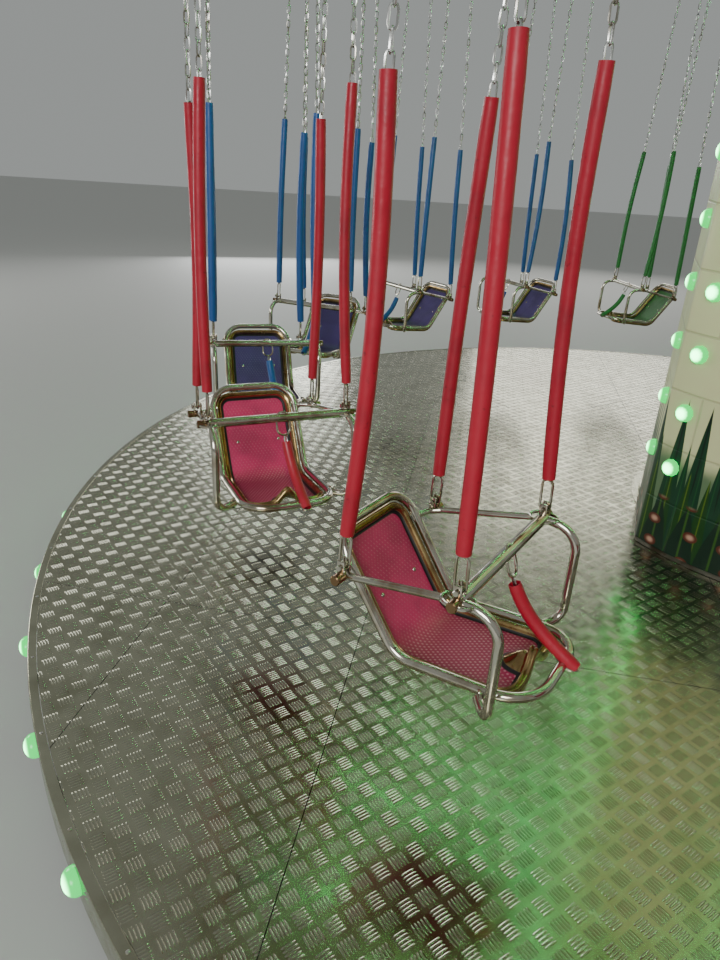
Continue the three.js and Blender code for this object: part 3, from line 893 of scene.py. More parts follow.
# %% Deck sheets
DECK_RADIUS = 3.466
WELL_RADIUS = 0.700
RIM_SIDES = 240
BORDER = 0.029
sheet_under = DECK_TOP - 0.012
sheet_top = DECK_TOP - 0.0015
disc_edge = DECK_RADIUS - BORDER
disc = turned([[WELL_RADIUS, sheet_under], [disc_edge, sheet_under], [disc_edge, sheet_top],
               [disc_edge * 0.6, sheet_top], [WELL_RADIUS, sheet_top]], RIM_SIDES, closed=True)
piece("deck_sheets", disc, "tread", "stand", ["deck_plate"], "tread_plate")
print("deck radius", DECK_RADIUS)

# %% Deck lip
LIP_DEPTH = 0.115
LIP_WALL = 0.006
FOLD_RADIUS = 0.005
BARS_FROM = 0.004
strip_inner = disc_edge + 0.0015
lip_low = DECK_TOP - LIP_DEPTH
fold = np.linspace(0, np.pi / 2, 5)
fold_points = np.stack([DECK_RADIUS - FOLD_RADIUS * (1 - np.cos(fold)),
                        DECK_TOP - FOLD_RADIUS * (1 - np.sin(fold))], 1)
strip = [[strip_inner + 0.0008, DECK_TOP], [strip_inner, DECK_TOP - 0.0008], [strip_inner, DECK_TOP - 0.004]]
lip_profile = np.concatenate([[[DECK_RADIUS - LIP_WALL, lip_low], [DECK_RADIUS, lip_low]], fold_points, strip,
                              [[DECK_RADIUS - LIP_WALL, DECK_TOP - 0.004]]])
lip = turned(lip_profile, RIM_SIDES, closed=True)
x, y, z = lip[0].T
lip_flat = np.stack([np.arctan2(y, x) * DECK_RADIUS, DECK_TOP - z, (z < DECK_TOP - BARS_FROM).astype(float)], 1)
piece("deck_lip", lip, "tread_lip", "stand", slot="tread_plate", flat=lip_flat)

# %% Screws and rim lamps
BORDER_SCREWS = 60
INNER_SCREWS = 24
INNER_SCREW_RADIUS = 1.9
LAMP_COUNT = 45
LAMP_TURN = math.radians(3.65)
LAMP_DROP = 0.060
screw = turned([[0.0050, 0.0], [0.0048, 0.0010], [0.0030, 0.0018], [0.0010, 0.0020]], 10)
screw_angles = 2 * np.pi * (np.arange(BORDER_SCREWS) + 0.35) / BORDER_SCREWS
inner_angles = 2 * np.pi * (np.arange(INNER_SCREWS) + 0.5) / INNER_SCREWS
spots = np.concatenate([on_circle(screw_angles, disc_edge + 0.012, DECK_TOP),
                        on_circle(inner_angles, INNER_SCREW_RADIUS, sheet_top)])
piece("deck_screws", copies(screw, [np.eye(3)] * len(spots), spots), "zinc", "stand", slot="tread_plate")

lamp_angles = LAMP_TURN + 2 * np.pi * np.arange(LAMP_COUNT) / LAMP_COUNT
lamp_feet = on_circle(lamp_angles, DECK_RADIUS - 0.0005, DECK_TOP - LAMP_DROP)
lamps("rim_lamps", "stand", lamp_feet, on_circle(lamp_angles, 1.0, 0.0), 0.035, 0.0345)

# %% [markdown]
# ## The column
#
# A round core is clad by two bays with round fronts, whose straight flanks run back to the core. A bay is
# one sheet outline, walked from its foot round the front and back along the inside, and raised. The mesh
# keeps how far each point lies along the outline, so the block courses wrap round the corners.

# %% Sheets that stand up
def raised(outline, inside, low, high):
    """A sheet standing up: the outline's outer points, back along the inner ones, at both heights."""
    closed_outline = np.concatenate([outline, inside[::-1]])
    run = np.concatenate([[0], np.cumsum(np.linalg.norm(np.diff(outline, axis=0), axis=1))])
    run = np.concatenate([run, run[::-1]])
    rings = np.stack([level_ring(closed_outline, z) for z in (low, high)])
    flat = np.stack([np.stack([run, np.full(len(run), z - low), 0 * run], 1) for z in (low, high)])
    return loft(rings), flat.reshape(-1, 3)


def at(radius, angle):
    """The point at a radius and an angle, seen from above."""
    return radius * np.array([math.cos(angle), math.sin(angle)])


# %% Bays
CORE_RADIUS = 0.660
BAY_RADIUS = 0.920
BAY_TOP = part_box("column_bay_front")[1].z
BAY_WALL = 0.025
BAY_HALF = math.radians(30)
BAY_FOOT = math.radians(60)
BAY_CORNER = 0.014
COLUMN_TURN = math.radians(-124.75)
LID = 0.03
KICK = 0.018


def bay_outline(offset):
    """From the core along one straight flank, round the vertical edge, over the front arc, and back.
    Everything lies an offset inside the outer face. The edge is a curve (1-t)^2 P + 2t(1-t) Q + t^2 R."""
    radius = BAY_RADIUS - offset
    half = BAY_HALF - offset / BAY_RADIUS / 2
    foot = at(CORE_RADIUS + 0.0005 + BAY_WALL - offset, BAY_FOOT)
    edge = at(radius, half)
    flank = (foot - edge) / np.linalg.norm(foot - edge)
    arc = np.linspace(-half + BAY_CORNER / radius, half - BAY_CORNER / radius, 49)
    front = np.stack([radius * np.cos(arc), radius * np.sin(arc)], 1)
    near = edge + BAY_CORNER * flank
    t = np.linspace(0, 1, 6)[1:-1, None]
    curve = (1 - t) ** 2 * front[-1] + 2 * t * (1 - t) * edge + t ** 2 * near
    side = np.concatenate([curve, near + np.linspace(0, 1, 8)[:, None] * (foot - near)])
    return np.concatenate([(side * [1, -1])[::-1], front, side])


outer = bay_outline(0.0)
bay_low = DECK_TOP + 0.0005
bay, bay_flat = raised(outer, bay_outline(BAY_WALL - 0.0005), bay_low, BAY_TOP - LID)
lid, _ = raised(outer * 1.010, bay_outline(0.045), BAY_TOP - LID, BAY_TOP)
kick, _ = raised(outer * 1.004, outer, bay_low, bay_low + KICK)
for side, turn in (("front", COLUMN_TURN), ("back", COLUMN_TURN + math.pi)):
    spin = about_z(turn)
    piece(f"bay_{side}", moved(bay, turn=spin), "cladding", "stand", [f"column_bay_{side}"], "column_cream",
          flat=bay_flat)
    piece(f"bay_lid_{side}", moved(lid, turn=spin), "gold_paint", "stand", slot="column_cream")
    piece(f"bay_kick_{side}", moved(kick, turn=spin), "dark_steel", "stand", slot="column_cream")
print("bay points:", len(bay[0]))

# %% Core, head and collar
COLUMN_SIDES = 96
SPINDLE = 0.16
core_inner = CORE_RADIUS - 0.02
core_face = CORE_RADIUS - 0.004
core_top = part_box("column_core")[1].z - 0.11
head_top = core_top + 0.03
core = turned([[core_inner, 0.0], [core_face, 0.0], [core_face, core_top], [core_inner, core_top]],
              COLUMN_SIDES, closed=True)
core_angle = (np.arctan2(core[0][:, 1], core[0][:, 0]) - COLUMN_TURN) % (2 * np.pi)
core_flat = np.stack([core_angle * CORE_RADIUS, core[0][:, 2] - DECK_TOP, 0 * core_angle], 1)
piece("column_tube", core, "core_cladding", "stand", ["column_core"], "column_cream", flat=core_flat)
head = turned([[0.03, core_top], [0.688, core_top], [0.688, head_top - 0.004], [0.684, head_top],
               [SPINDLE, head_top], [SPINDLE, core_top + 0.11], [SPINDLE - 0.005, core_top + 0.11],
               [0.03, core_top + 0.11]], COLUMN_SIDES, closed=True)
piece("column_head", head, "dark_steel", "stand", slot="column_cream")
collar = turned([[core_face, DECK_TOP - 0.001], [0.702, DECK_TOP - 0.001], [0.7012, DECK_TOP + 0.0015],
                 [0.667, DECK_TOP + 0.003], [0.664, DECK_TOP + 0.03], [core_face, DECK_TOP + 0.031]],
                COLUMN_SIDES, closed=True)
piece("column_collar", collar, "tread_lip", "stand", slot="tread_plate", flat=np.zeros((len(collar[0]), 3)))

# %% [markdown]
# ## Column lamps
#
# Two rows of caps run up each vertical edge of a bay, one on the front and one on the flank behind the
# edge. The caps stand 244 millimetres apart, and the two rows are at nearly the same heights.

# %% Column lamps
FIRST_LAMP = 0.398
LAMP_PITCH = 0.2435
FLANK_RISE = 0.009
FACE_INSIDE = math.radians(6.0)
FLANK_PAST = 0.140
COLUMN_CAP = 0.036
heights = FIRST_LAMP + LAMP_PITCH * np.arange(int((BAY_TOP - DECK_TOP - FIRST_LAMP - 0.1) / LAMP_PITCH) + 1)
places, directions = [], []
for turn in (COLUMN_TURN, COLUMN_TURN + math.pi):
    for side in (-1, 1):
        face = np.array([*at(1.0, turn + side * (BAY_HALF - FACE_INSIDE)), 0.0])
        edge = np.array([*at(BAY_RADIUS, turn + side * BAY_HALF), 0.0])
        foot = np.array([*at(CORE_RADIUS + BAY_WALL, turn + side * BAY_FOOT), 0.0])
        along = (foot - edge) / np.linalg.norm(foot - edge)
        outwards = np.cross([0, 0, 1], along) * -side
        for height in DECK_TOP + heights:
            places += [BAY_RADIUS * face + [0, 0, height],
                       edge + FLANK_PAST * along + [0, 0, height + FLANK_RISE]]
            directions += [face, outwards]
lamps("column_lamps", "stand", places, directions, COLUMN_CAP, COLUMN_CAP, slot="column_cream")

# %% [markdown]
# ## The chair's tubes
#
# Every chair is the same, so each part is made once around the middle of the armrest plane, with x
# outwards, y forwards and z up, and then placed sixteen times. One closed loop of tube goes round the
# back and the seat. Two legs bulge forward from the armrest's front corners, the lap bar joins the
# corners, and a side bar runs along each side to the back.

# %% Tubes
FRONT = np.array([0.233, 0.140, 0.032])
REAR = np.array([0.212, -0.149, -0.032])
LOOP_TUBE = 0.012
LEG_TUBE = 0.0115
LAP_BAR = 0.0150
SIDE_BAR = 0.0088
WELD = 0.0032
LOOP_HALF = 0.153
LOOP_PLACES = ((-0.217, 0.033), (-0.033, -0.236), (0.303, -0.210))
LOOP_RADII = [0.078, 0.079, 0.095]
ACROSS = np.array([-1, 1, 1])

half_loop = np.array([[LOOP_HALF, *place] for place in LOOP_PLACES])
loop_path = rounded(np.concatenate([half_loop, half_loop[::-1] * ACROSS]), LOOP_RADII + LOOP_RADII[::-1], 9,
                    closed=True)
loop = tube(loop_path, LOOP_TUBE, 16, closed=True)
leg_corners = [[0.233, 0.126, 0.029], [0.233, 0.2335, 0.026], [0.231, 0.2335, -0.231], [0.166, 0.186, -0.2325]]
leg = tube(rounded(leg_corners, [0.064, 0.044], 9), LEG_TUBE, 14)
lap_bar = rod(FRONT * ACROSS, FRONT, LAP_BAR, 20, 0.002)
side_corners = [FRONT - [0.002, 0.030, 0.007], REAR + [0.002, 0.022, 0.005], REAR + [-0.010, -0.005, 0.0],
                [0.1545, -0.1715, -0.033]]
side_bar = tube(rounded(side_corners, [0.03, 0.02], 4), SIDE_BAR, 12)
weld_bead = tube(racetrack(0.038, 0.034, 9), WELD, 6, closed=True)
beads = [moved(weld_bead, (0.168, 0.188, -0.231), upright_on([-0.8, -0.6, 0], [0, 0, 1])),
         moved(weld_bead, (0.154, -0.171, -0.033), upright_on([0, 0.56, -0.83], [1, 0, 0]))]
one_side = gathered([leg, side_bar, *beads])
tubes = gathered([loop, lap_bar, one_side, mirrored(one_side)])
print("tube points a chair:", len(tubes[0]))

# %% [markdown]
# ## Corner fittings
#
# Each corner has a block with a clevis, and each front corner an oval ring round it that lets the lap bar
# ride up the chains. A long shackle joins the clevis to the chain inside the sleeve, and another joins the
# chain to the spreader above.

# %% Fittings
SPREADER_DROP = 0.120
SPREADER = np.array([0.200, 0.075])
SHACKLE_LENGTH = 0.082
SHACKLE_WIRE = 0.0034
SHACKLE_LOW = 0.020
SHACKLE_HIGH = 0.012
BARREL_OUT = 0.016
spreader_height = PIN_HEIGHT - ARMREST - SPREADER_DROP
lower_ends = np.array([FRONT, FRONT * ACROSS, REAR, REAR * ACROSS])
upper_ends = np.array([[sx * SPREADER[0], sy * SPREADER[1], spreader_height]
                       for sy in (1, -1) for sx in (1, -1)])

barrel = rod([-0.019, 0, 0], [0.019, 0, 0], 0.0125, 18, 0.002)
oval = tube(racetrack(0.070, 0.054, 9), 0.0046, 8, closed=True)
cheek = slab((0.0025, 0.010, 0.017))
clevis_pin = rod([-0.016, 0, 0.026], [0.016, 0, 0.026], 0.004, 10, 0.001)
pin_head = rod([0.0165, 0, 0.026], [0.021, 0, 0.026], 0.0072, 6, 0.0008)
clevis = gathered([moved(cheek, (-0.011, 0, 0.024)), moved(cheek, (0.011, 0, 0.024)), clevis_pin, pin_head])
shackle = tube(racetrack(SHACKLE_LENGTH, 0.026, 9), SHACKLE_WIRE, 8, closed=True)

parts, barrel_parts = [], []
for low, high in zip(lower_ends, upper_ends):
    way = upright_on(high - low)
    half = SHACKLE_LENGTH / 2
    parts += [moved(clevis, low), moved(shackle, low + way[:, 2] * (SHACKLE_LOW + half), way),
              moved(shackle, high - way[:, 2] * (SHACKLE_HIGH + half), way)]
    barrel_parts.append(moved(barrel, low + [BARREL_OUT * np.sign(low[0]), 0, 0]))
    if low[1] > 0:
        parts.append(moved(oval, low, upright_on([0, 1, 0], [1, 0, 0])))
corner_fittings = gathered(parts)
barrels = gathered(barrel_parts)
print("fitting points a chair:", len(corner_fittings[0]))

# %% [markdown]
# ## Chains
#
# Long-link chain with 5 mm wire: each link is a racetrack, and each second one is turned a quarter
# about the chain. One link has only a few dozen faces, because there are over two thousand of them.

# %% Chains
LINK_PITCH = 0.032
LINK_WIDTH = 0.0152
LINK_WIRE = 0.0026
SLEEVE_LOW = 0.105
SLEEVE_TOP = 0.970
link = tube(racetrack(LINK_PITCH + 2 * LINK_WIRE, LINK_WIDTH, 5), LINK_WIRE, 5, closed=True)


def chain(start, end):
    """Links at an even pitch from start to end, alternately turned a quarter about the line."""
    count = int(round(np.linalg.norm(end - start) / LINK_PITCH))
    way = upright_on(end - start)
    turns = [way @ about_z(math.pi / 4 + k * math.pi / 2) for k in range(count)]
    places = start + (np.arange(count) + 0.5)[:, None] / count * (end - start)
    return copies(link, turns, places)


runs = []
for low, high in zip(lower_ends, upper_ends):
    way = (high - low) / np.linalg.norm(high - low)
    runs.append(chain(low + way * (SLEEVE_TOP - 0.06), high - way * (SHACKLE_HIGH + SHACKLE_LENGTH - 0.008)))
chains = gathered(runs)
print("chain points a chair:", len(chains[0]), "length", round(np.linalg.norm(high - low), 3))

# %% [markdown]
# ## The hanger
#
# The four chains meet at a spreader shaped like an H lying flat, made of square tube. A neck and an eye
# hang it on the pin of the arm.

# %% Hanger
BAR = 0.012
EYE_HALF = 0.0148
EYE_SECTION = [[0.0125, -EYE_HALF], [0.024, -EYE_HALF], [0.0265, -0.0125], [0.0265, 0.0125], [0.024, EYE_HALF],
               [0.0125, EYE_HALF]]
main_bar = slab((SPREADER[0] - BAR, BAR, BAR))
end_bar = slab((BAR, SPREADER[1] + BAR, BAR))
web = slab((0.050, 0.004, 0.020))
lug = slab((0.004, 0.011, 0.014))
spreader = gathered([
    moved(main_bar, (0, 0, spreader_height)), moved(end_bar, (SPREADER[0], 0, spreader_height)),
    moved(end_bar, (-SPREADER[0], 0, spreader_height)), moved(web, (0, 0, spreader_height + 0.028)),
    *[moved(lug, place - [0, 0, 0.018]) for place in upper_ends],
])

neck_height = SPREADER_DROP - 0.027
neck = slab((0.012, EYE_HALF, neck_height / 2), 0.003)
eye = turned(EYE_SECTION, 28, closed=True)
neck_and_eye = gathered([moved(neck, (0, 0, spreader_height + neck_height / 2)),
                         moved(eye, (0, 0, spreader_height + SPREADER_DROP), upright_on([0, 1, 0], [1, 0, 0]))])
print("hanger points a chair:", len(spreader[0]) + len(neck_and_eye[0]))

# %% [markdown]
# ## The seat shell
#
# The shell is one bent sheet with round corners: a straight back, a bend and a nearly level seat. Its
# surface is a function of two values: a station round the outline, and the inset from it. A subdivided
# box could be pushed into shape by hand, but the formula keeps the rim's roll the same all round.

# %% Outline of the shell
SHELL_HALF = 0.1415
SHELL_CORNERS = [[0, -0.2262, 0.0089], [0, -0.0437, -0.2587], [0, 0.2545, -0.2357]]
CORNER = 0.058
shell_line = rounded(SHELL_CORNERS, [0.075], 12)
shell_run = np.concatenate([[0], np.cumsum(np.linalg.norm(np.diff(shell_line, axis=0), axis=1))])
SHELL_LENGTH = shell_run[-1]


def outline_at(inset, straight_long=28, straight_short=24, arc=8):
    """Rounded rectangles inset from the shell's flat outline: one row of stations for each inset."""
    inset = np.asarray(inset, float)[:, None]
    half_u = SHELL_HALF - inset
    half_v = SHELL_LENGTH / 2 - inset
    radius = np.minimum(np.maximum(CORNER - inset, 0.006), half_u)
    quarter = np.linspace(0, np.pi / 2, arc + 1)
    blocks = []
    for k, (sx, sy) in enumerate(((1, 1), (-1, 1), (-1, -1), (1, -1))):
        angle = quarter + k * np.pi / 2
        blocks.append(np.stack([sx * (half_u - radius) + radius * np.cos(angle),
                                sy * (half_v - radius) + radius * np.sin(angle)], -1))
    rows = []
    for k, here in enumerate(blocks):
        there = blocks[(k + 1) % 4]
        count = straight_short if k % 2 == 0 else straight_long
        t = (np.arange(1, count) / count)[:, None]
        rows += [here, here[:, -1:] * (1 - t) + there[:, :1] * t]
    return np.concatenate(rows, 1)


print("shell length", round(SHELL_LENGTH, 3))

# %% [markdown]
# ## Bending the sheet
#
# A flat place becomes a place in space: its run along the middle line gives a point and a slope, and its
# lift stands square to that slope. At the middle of the front the sheet rises to a saddle, which leaves
# an open arch below.

# %% Bending the sheet
SADDLE = 0.046
SADDLE_HALF = 0.033
SADDLE_FROM = 0.105
SADDLE_RISE = 0.080
SLOPE_STEP = 0.002


def middle_line(run, column):
    """One coordinate of the middle line at a run along it."""
    return np.interp(run, shell_run, shell_line[:, column])


def bent(u, v, lift):
    """Point = middle line + u across + (lift + hump) times the normal. The hump is a bell curve across the
    sheet, exp(-(u / half)^2), times a smooth step 3 s^2 - 2 s^3 along it."""
    run = np.clip(v + SHELL_LENGTH / 2, 0, SHELL_LENGTH)
    dy, dz = (middle_line(run + SLOPE_STEP, k) - middle_line(run - SLOPE_STEP, k) for k in (1, 2))
    size = np.hypot(dy, dz)
    s = np.clip((run - (SHELL_LENGTH - SADDLE_FROM)) / SADDLE_RISE, 0, 1)
    hump = SADDLE * np.exp(-(u / SADDLE_HALF) ** 2) * s ** 2 * (3 - 2 * s)
    lift = lift + hump
    y = middle_line(run, 1) - dz / size * lift
    z = middle_line(run, 2) + dy / size * lift
    return np.stack([u, y, z], -1), hump


# %% [markdown]
# ## The rolled rim
#
# Over the inset, the height goes up a rolled rim, down into the reveal and level across the panel. The
# underside is a second set of rows, and the two sides are joined round the edge.

# %% Section and shell
TOP_SECTION = np.array([
    [0.0000, -0.0050], [0.0000, 0.0080], [0.0010, 0.0125], [0.0035, 0.0158], [0.0065, 0.0160], [0.0090, 0.0140],
    [0.0110, 0.0130], [0.0130, 0.0165], [0.0155, 0.0190], [0.0180, 0.0175], [0.0200, 0.0110], [0.0212, 0.0050],
    [0.0235, 0.0012], [0.0275, 0.0000], [0.0305, 0.0008], [0.0370, 0.0010], [0.0480, 0.0010], [0.0620, 0.0010],
    [0.0800, 0.0010], [0.1000, 0.0010], [0.1220, 0.0010], [SHELL_HALF, 0.0010],
])
UNDER_SECTION = np.array([
    [SHELL_HALF, -0.0090], [0.1150, -0.0090], [0.0850, -0.0090], [0.0500, -0.0090], [0.0250, -0.0092],
    [0.0100, -0.0095], [0.0030, -0.0085],
])


def sheet_side(section):
    """One side of the shell: points, flat coordinates and hump for every inset and station."""
    flat = outline_at(section[:, 0])
    u, v = flat[..., 0], flat[..., 1]
    surface, hump = bent(u, v, np.broadcast_to(section[:, 1:], u.shape))
    coordinates = np.stack([u, v + SHELL_LENGTH / 2, np.broadcast_to(section[:, :1], u.shape)], -1)
    return surface.reshape(-1, 3), coordinates.reshape(-1, 3), hump.ravel(), u.shape


top_side, top_flat, top_hump, top_shape = sheet_side(TOP_SECTION)
low_side, low_flat, low_hump, low_shape = sheet_side(UNDER_SECTION)
stations = np.arange(top_shape[1])
onwards = (stations + 1) % top_shape[1]
last_low = len(top_side) + len(low_side) - top_shape[1]
faces = [ring_faces(*top_shape)[:, ::-1], ring_faces(*low_shape)[:, ::-1] + len(top_side),
         np.stack([stations, onwards, last_low + onwards, last_low + stations], 1)]
shell, coordinates, hump = welded((np.concatenate([top_side, low_side]), [np.concatenate(faces)]),
                                  np.concatenate([top_flat, low_flat]), np.concatenate([top_hump, low_hump]))
print("shell points:", len(shell[0]))

# %% Rivets of the back
RIVET_PLACES = np.array([[0.076, 0.185], [-0.076, 0.185]])
BACK_NORMAL = (0, 0.826, 0.564)
rivet = turned([[0.0062, 0.0], [0.0060, 0.0012], [0.0042, 0.0028], [0.0012, 0.0034]], 12)
spots, _ = bent(RIVET_PLACES[:, 0], RIVET_PLACES[:, 1] - SHELL_LENGTH / 2, 0.001)
rivets = gathered([moved(rivet, spot, upright_on(BACK_NORMAL, (1, 0, 0))) for spot in spots])

# %% [markdown]
# ## Sleeves and the strap
#
# A hose of 34 mm covers each lower chain. The hoses are not quite straight: each bows a few
# millimetres its own way, from a seeded draw. The strap between lap bar and seat front is a short chain
# in the same hose, held by a snap hook over the lap bar.

# %% Sleeves
SLEEVE = 0.017
SLEEVE_BORE = 0.0135
draw = np.random.default_rng(16)


def bowed(start, end, bow, steps=15):
    """A straight line with a half wave added: start + t (end - start) + bow sin(pi t)."""
    t = np.linspace(0, 1, steps)[:, None]
    return start + t * (end - start) + np.sin(np.pi * t) * bow


def chair_sleeves():
    """Four hoses round the chains, each with its own bow and its own upper end."""
    made = []
    for low, high in zip(lower_ends, upper_ends):
        way = upright_on(high - low)
        angle, size, top = draw.uniform(0, 2 * np.pi), draw.uniform(0.006, 0.019), draw.uniform(-0.035, 0.012)
        bow = size * (way[:, 0] * math.cos(angle) + way[:, 1] * math.sin(angle))
        path = bowed(low + way[:, 2] * SLEEVE_LOW, low + way[:, 2] * (SLEEVE_TOP + top), bow)
        made.append(hollow(path, SLEEVE, SLEEVE_BORE))
    return made


# %% Strap
STRAP_TOP = np.array([-0.012, 0.148, 0.002])
STRAP_FOOT = np.array([-0.038, 0.331, -0.212])
STRAP_BOW = np.array([0, -0.028, -0.012])
HOOK_PLACE = (-0.010, 0.151, 0.016)
FOOT_SHACKLE_PLACE = (-0.038, 0.314, -0.211)
strap_path = bowed(STRAP_TOP, STRAP_FOOT, STRAP_BOW, 18)
strap_sleeve = hollow(strap_path[3:], 0.0160, 0.0120)
hook = moved(tube(racetrack(0.076, 0.044, 9), 0.0036, 8, closed=True), HOOK_PLACE,
             upright_on([0, -0.35, 1], [1, 0, 0]))
foot_shackle = moved(tube(racetrack(0.046, 0.032, 9), 0.0032, 8, closed=True), FOOT_SHACKLE_PLACE,
                     upright_on([0, 1, -0.15], [1, 0, 0]))
corner_fittings = gathered([corner_fittings, hook, foot_shackle])
chains = gathered([chains, chain(strap_path[2], strap_path[4])])
print("strap length", round(np.linalg.norm(np.diff(strap_path, axis=0), axis=1).sum(), 3))

# %% [markdown]
# ## Sixteen chairs
#
# Each chair turns with its arm: the shapes are turned about the upright axis and moved out to the pin's
# radius. Real chairs hang a little twisted on their chains, so all but the neck and the eye gets a few
# degrees more. Blocks of four chairs share a colour.

# %% Placing the chairs
HANG_TWISTS = np.radians([-6, 8, -3, 5, 10, 4, -10, 2, 17, 3, 14, -9, 4, -7, 9, 2])
BLOCKS = ("green", "purple", "magenta", "amber")
BRIGHT_PARTS = (("tubes", tubes, "chrome"), ("fittings", corner_fittings, "chrome"),
                ("rivets", rivets, "chrome"), ("chains", chains, "zinc"))
for k, chair in enumerate(CHAIRS):
    angle = k * STEP
    spin = about_z(angle + HANG_TWISTS[k])
    place = (*at(HANG_RADIUS, angle), ARMREST)
    colour_name = BLOCKS[((k - 1) % len(CHAIRS)) // 4]
    for part, shape, finish in BRIGHT_PARTS:
        stands_for = [f"{chair}_frame"] if part == "tubes" else []
        piece(f"{chair}_{part}", moved(shape, place, spin), finish, chair, stands_for, "chair_chrome")
    hanger = gathered([moved(spreader, place, spin), moved(neck_and_eye, place, about_z(angle))])
    piece(f"{chair}_hanger", hanger, "blue_paint", chair, slot="top_blue")
    hoses = gathered([*chair_sleeves(), strap_sleeve])
    piece(f"{chair}_sleeves", moved(hoses, place, spin), f"sleeve_{colour_name}", chair,
          slot=f"seat_{colour_name}", sharp=50)
    piece(f"{chair}_shell", moved(shell, place, spin), f"panel_{colour_name}", chair, [f"{chair}_seat"],
          f"seat_{colour_name}", sharp=70, flat=coordinates, hump=hump)
    piece(f"{chair}_barrels", moved(barrels, place, spin), "bronze", chair, slot="chair_chrome")
print("chairs placed:", len(CHAIRS))

# %% [markdown]
# ## The turning top
#
# The photo stops below the top, so this is a plain form of what such rides have. The arms, brackets and
# ceiling are right as solids and only get paint, and a row of lamps under each arm. The boards get
# raised frames and shields, the roof sixteen slightly domed gores with ribs, and the crown a turned
# profile with a finial.

# %% Paint on the solids that stay
SOLID_PAINTS = {"sweep": "blue_paint", "soffit": "cream_paint", "base_frame": "grey_paint",
                "deck_skirt": "grey_paint", "rounding_boards": "yellow_paint"}
for node, finish in SOLID_PAINTS.items():
    solid = frame["nodes"][node]
    solid.data.materials.clear()
    solid.data.materials.append(FINISHES[finish])

# %% Lamps under the arms
ARM_UNDERSIDE = 3.370
ARM_LAMPS = np.arange(0.86, 2.5, 0.135)
arm_angles = STEP * np.arange(len(CHAIRS))
arm_reach = np.tile(ARM_LAMPS, len(CHAIRS))[:, None]
arm_spots = on_circle(np.repeat(arm_angles, len(ARM_LAMPS)), 1.0, 0.0) * arm_reach
arm_spots += [0, 0, ARM_UNDERSIDE - 0.0003]
lamps("arm_lamps", "top", arm_spots, np.tile([0.0, 0.0, -1.0], (len(arm_spots), 1)), 0.034, 0.024,
      slot="top_blue", small=True, finish="arm_lamp_cap")

# %% [markdown]
# ## Boards
#
# Each board is a flat plate. A frame with the section of a moulding runs round it, a red fillet runs
# inside that, and a blue oval with a gold boss lies in the middle. Caps follow the upper and lower edge.

# %% Shapes on the boards
MOULDING = ((0, 0), (0, 0.7), (0.3, 1), (0.7, 1), (1, 0.7), (1, 0))


def board_frame(half_wide, half_high, thick, deep):
    """A rounded frame: an outline at each inset and depth of the moulding, closed on itself."""
    outlines = [level_ring(rounded_outline(half_wide - thick * d, half_high - thick * d,
                                           max(0.05 - thick * d, 0.008), 5), deep * h) for d, h in MOULDING]
    return loft(np.array(outlines), closed=True)


def shield(half_wide, half_high, deep):
    """A pillow: ellipses that shrink by cos(a) while they rise by deep sin(a)."""
    ellipse = circle(48) * [half_wide, half_high]
    steps = np.linspace(0, np.pi / 2 - 0.03, 8)
    return loft(np.array([level_ring(ellipse * math.cos(a), deep * math.sin(a)) for a in steps]))


# %% Board frames, shields and lamps
BOARD_FACE = 2.949
BOARD_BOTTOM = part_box("rounding_boards")[0].z
BOARD_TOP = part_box("rounding_boards")[1].z
BOARD_WIDTH = 2 * BOARD_FACE * math.tan(STEP / 2)
LAMPS_ACROSS = 9
half_wide, half_high = BOARD_WIDTH / 2, (BOARD_TOP - BOARD_BOTTOM) / 2
board_turns = [about_z(a) @ upright_on([1, 0, 0], [0, 1, 0]) for a in arm_angles]
board_places = on_circle(arm_angles, BOARD_FACE, (BOARD_BOTTOM + BOARD_TOP) / 2)
outer_frame = board_frame(half_wide - 0.02, half_high - 0.012, 0.045, 0.014)
fillet = board_frame(half_wide - 0.11, half_high - 0.10, 0.016, 0.009)
for name, shape, finish, slot in (
        ("board_frames", outer_frame, "blue_paint", "top_blue"),
        ("board_fillets", fillet, "red_paint", "board_yellow"),
        ("board_shields", shield(0.20, 0.105, 0.018), "blue_paint", "board_yellow"),
        ("board_bosses", shield(0.075, 0.060, 0.028), "gold_paint", "board_yellow")):
    piece(name, copies(shape, board_turns, board_places), finish, "top", slot=slot)

spacing = np.linspace(-0.5, 0.5, LAMPS_ACROSS) * (BOARD_WIDTH - 0.13)
cap_spots = np.array([[x, y, 0.013] for x in spacing for y in (half_high - 0.035, 0.035 - half_high)])
places = np.concatenate([place + cap_spots @ turn.T for turn, place in zip(board_turns, board_places)])
directions = np.repeat([turn[:, 2] for turn in board_turns], len(cap_spots), 0)
lamps("board_lamps", "top", places, directions, 0.015, 0.014, slot="board_yellow", small=True)

# %% [markdown]
# ## Roof and crown
#
# A gore is a function of two values: how far out it lies, and how far across it is between two ribs. It
# follows the cone of the solid and swells by a few centimetres between the ribs, least at its ends.

# %% Gores
GORES = len(CHAIRS)
CANOPY_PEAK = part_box("canopy")[1].z
CANOPY_INNER = 0.430
EDGE_RADIUS = BOARD_FACE + 0.012
EDGE_HEIGHT = BOARD_TOP + 0.024
SHEET_TOP = CANOPY_PEAK - 0.012
SHEET_WALL = 0.008
SWELL = 0.045
OUTWARDS, SIDEWAYS = 15, 9
out = np.linspace(0, 1, OUTWARDS)[:, None]
across = np.linspace(-1, 1, SIDEWAYS)[None, :]
reach = CANOPY_INNER + (EDGE_RADIUS - CANOPY_INNER) * out
width = reach * math.tan(STEP / 2) * across
drop = SHEET_TOP - (SHEET_TOP - EDGE_HEIGHT) * out
swell = SWELL * (1 - across ** 2) * np.sin(np.pi * out) ** 0.6
upper = np.stack([np.broadcast_to(reach, width.shape), width, drop + swell], -1).reshape(-1, 3)
grid = np.arange(len(upper)).reshape(OUTWARDS, SIDEWAYS)
